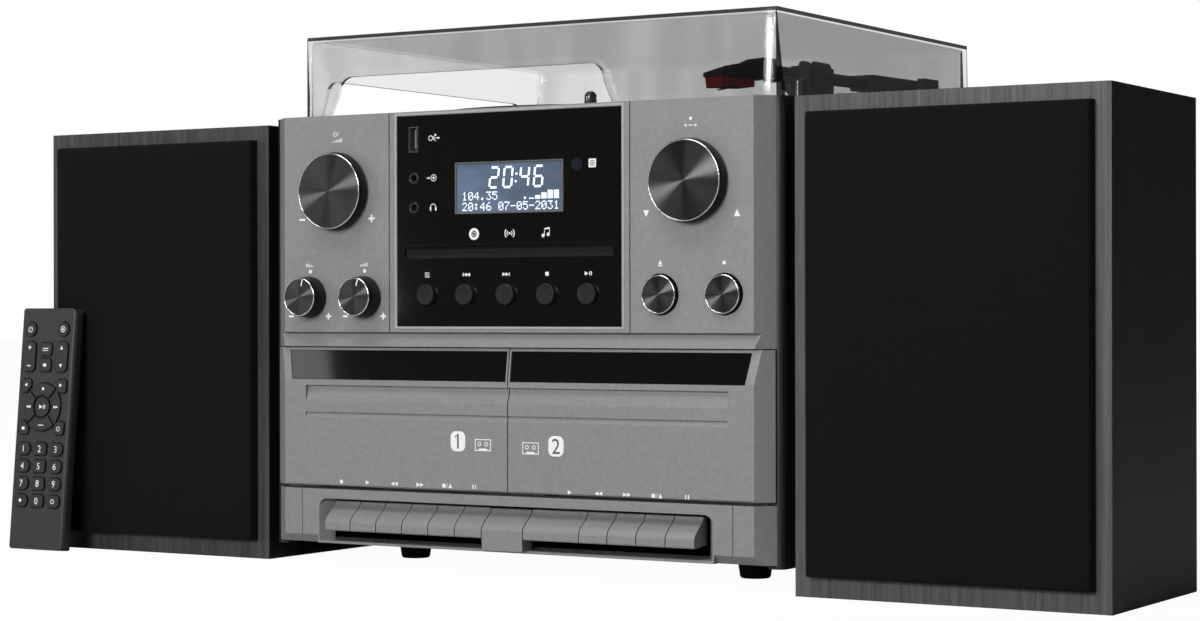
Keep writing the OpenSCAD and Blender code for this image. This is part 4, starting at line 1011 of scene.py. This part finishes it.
# ---- Remote
# Grey-black case and soft black keys, with plain white signs on the keys.
REMOTE_LEAN, REMOTE_FOOT, REMOTE_T = 5.4, (-321.0, -17.3), 10.0
remote_plastic = grained_plastic("remote_plastic", (0.028, 0.028, 0.0275, 1), 0.42, 1500, 0.00005, 0.35, 0.0008)
key_rubber = grained_plastic("key_rubber", (0.004, 0.004, 0.0042, 1), 0.3, 900, 0.00004, 0.45, 0.0007)
dress(remote_plastic, "remote_case")
dress(key_rubber, "remote_keypad")


def on_remote(points):
    """Points in the remote's own frame, leaning back about X, in the main unit's frame."""
    a = math.radians(REMOTE_LEAN)
    up = points[:, 2] + REMOTE_T / 2 * math.sin(a)
    y = points[:, 1] * math.cos(a) + up * math.sin(a) + REMOTE_FOOT[1]
    return np.stack([points[:, 0] + REMOTE_FOOT[0], y, -points[:, 1] * math.sin(a) + up * math.cos(a)], -1)


RING_Z, ROW_Z, ROW_STEP, COLUMN = 84.9, 28.8, 10.33, 12.8
remote_signs = [
    arc(-12.9, 131.2, 1.5, 0.45, 120, 300), bar(-13.1, 131.2, -12.7, 133.1), arc(12.9, 131.4, 1.6, 0.45),
    dot(12.9, 131.4, 0.6), *plus(-12.7, 120.4, 2.8, 0.6), *minus(-12.7, 109.4, 2.8, 0.6),
    arrowhead(12.7, 120.4, 2.3, 90), arrowhead(12.7, 109.4, 2.3, -90), bar(-2.2, 119.6, 2.2, 120.1),
    bar(-2.2, 118.4, 2.2, 118.9), bar(-1.3, 109.0, 1.3, 110.8), arrowhead(-13.9, RING_Z + 13.0, 2.2, 180),
    arrowhead(13.9, RING_Z + 13.0, 2.2, 0), bar(-15.0, RING_Z - 13.9, -12.8, RING_Z - 12.1),
    arc(13.9, RING_Z - 13.0, 1.2, 0.4), arrowhead(-0.9, RING_Z, 2.6, 0),
    bar(0.9, RING_Z - 1.2, 1.4, RING_Z + 1.2), bar(2.0, RING_Z - 1.2, 2.5, RING_Z + 1.2),
    dot(0, RING_Z + 10.8, 0.9), bar(-2.2, RING_Z - 11.2, 2.2, RING_Z - 10.7),
    *[arrowhead(s * (10.0 + 1.7 * k), RING_Z, 1.8, 90 - 90 * s) for s in (-1, 1) for k in (0, 1)],
]
for index, sign in enumerate("123456789"):
    remote_signs.append(numeral(sign, COLUMN * (index % 3 - 1), ROW_Z + ROW_STEP * (3 - index // 3), 3.9))
remote_signs += [numeral("0", 0, ROW_Z, 3.9), dot(-COLUMN, ROW_Z, 1.0), arc(COLUMN, ROW_Z, 1.2, 0.45)]
printed("remote_signs", remote_signs, "remote", white_ink, -REMOTE_T / 2 - 1 - PRINT_PROUD, on_remote)

# ---- Inside
# Boards in green lacquer with tinned tracks, steel drive and transports, a laminated transformer, the
# platter's motor and rubber belt.
board_lacquer, board_shader = surface_material("board_lacquer")
tracks = node(board_lacquer, "ShaderNodeTexBrick", {
    "Vector": object_place(board_lacquer), "Scale": 60.0, "Color1": (0.02, 0.13, 0.05, 1),
    "Color2": (0.03, 0.17, 0.07, 1), "Mortar": (0.16, 0.2, 0.1, 1), "Mortar Size": 0.02,
})
fill(board_shader, {"Base Color": tracks.outputs["Color"], "Roughness": 0.35})
dress(board_lacquer, "circuit_boards")
dress(
    grained_plastic("pressed_steel", (0.45, 0.45, 0.46, 1), 0.35, 300, 0.00002, 0.5, metal=1.0),
    "tape_transports", "drive_motor",
)
dress(grained_plastic("drive_black", (0.02, 0.02, 0.021, 1), 0.4, 900, 0.00003), "disc_drive")
laminated, laminated_shader = surface_material("laminated_core")
plates = node(
    laminated, "ShaderNodeTexWave", {"Vector": object_place(laminated), "Scale": 300.0}, bands_direction="Y"
).outputs["Fac"]
plates_tone = tones(laminated, plates, (0.05, 0.035, 0.02, 1), (0.14, 0.12, 0.1, 1))
fill(laminated_shader, {"Base Color": plates_tone, "Roughness": 0.5})
dress(laminated, "power_transformer")
dress(grained_plastic("belt_rubber", (0.008, 0.008, 0.008, 1), 0.7, 900, 0.00004), "drive_belt")
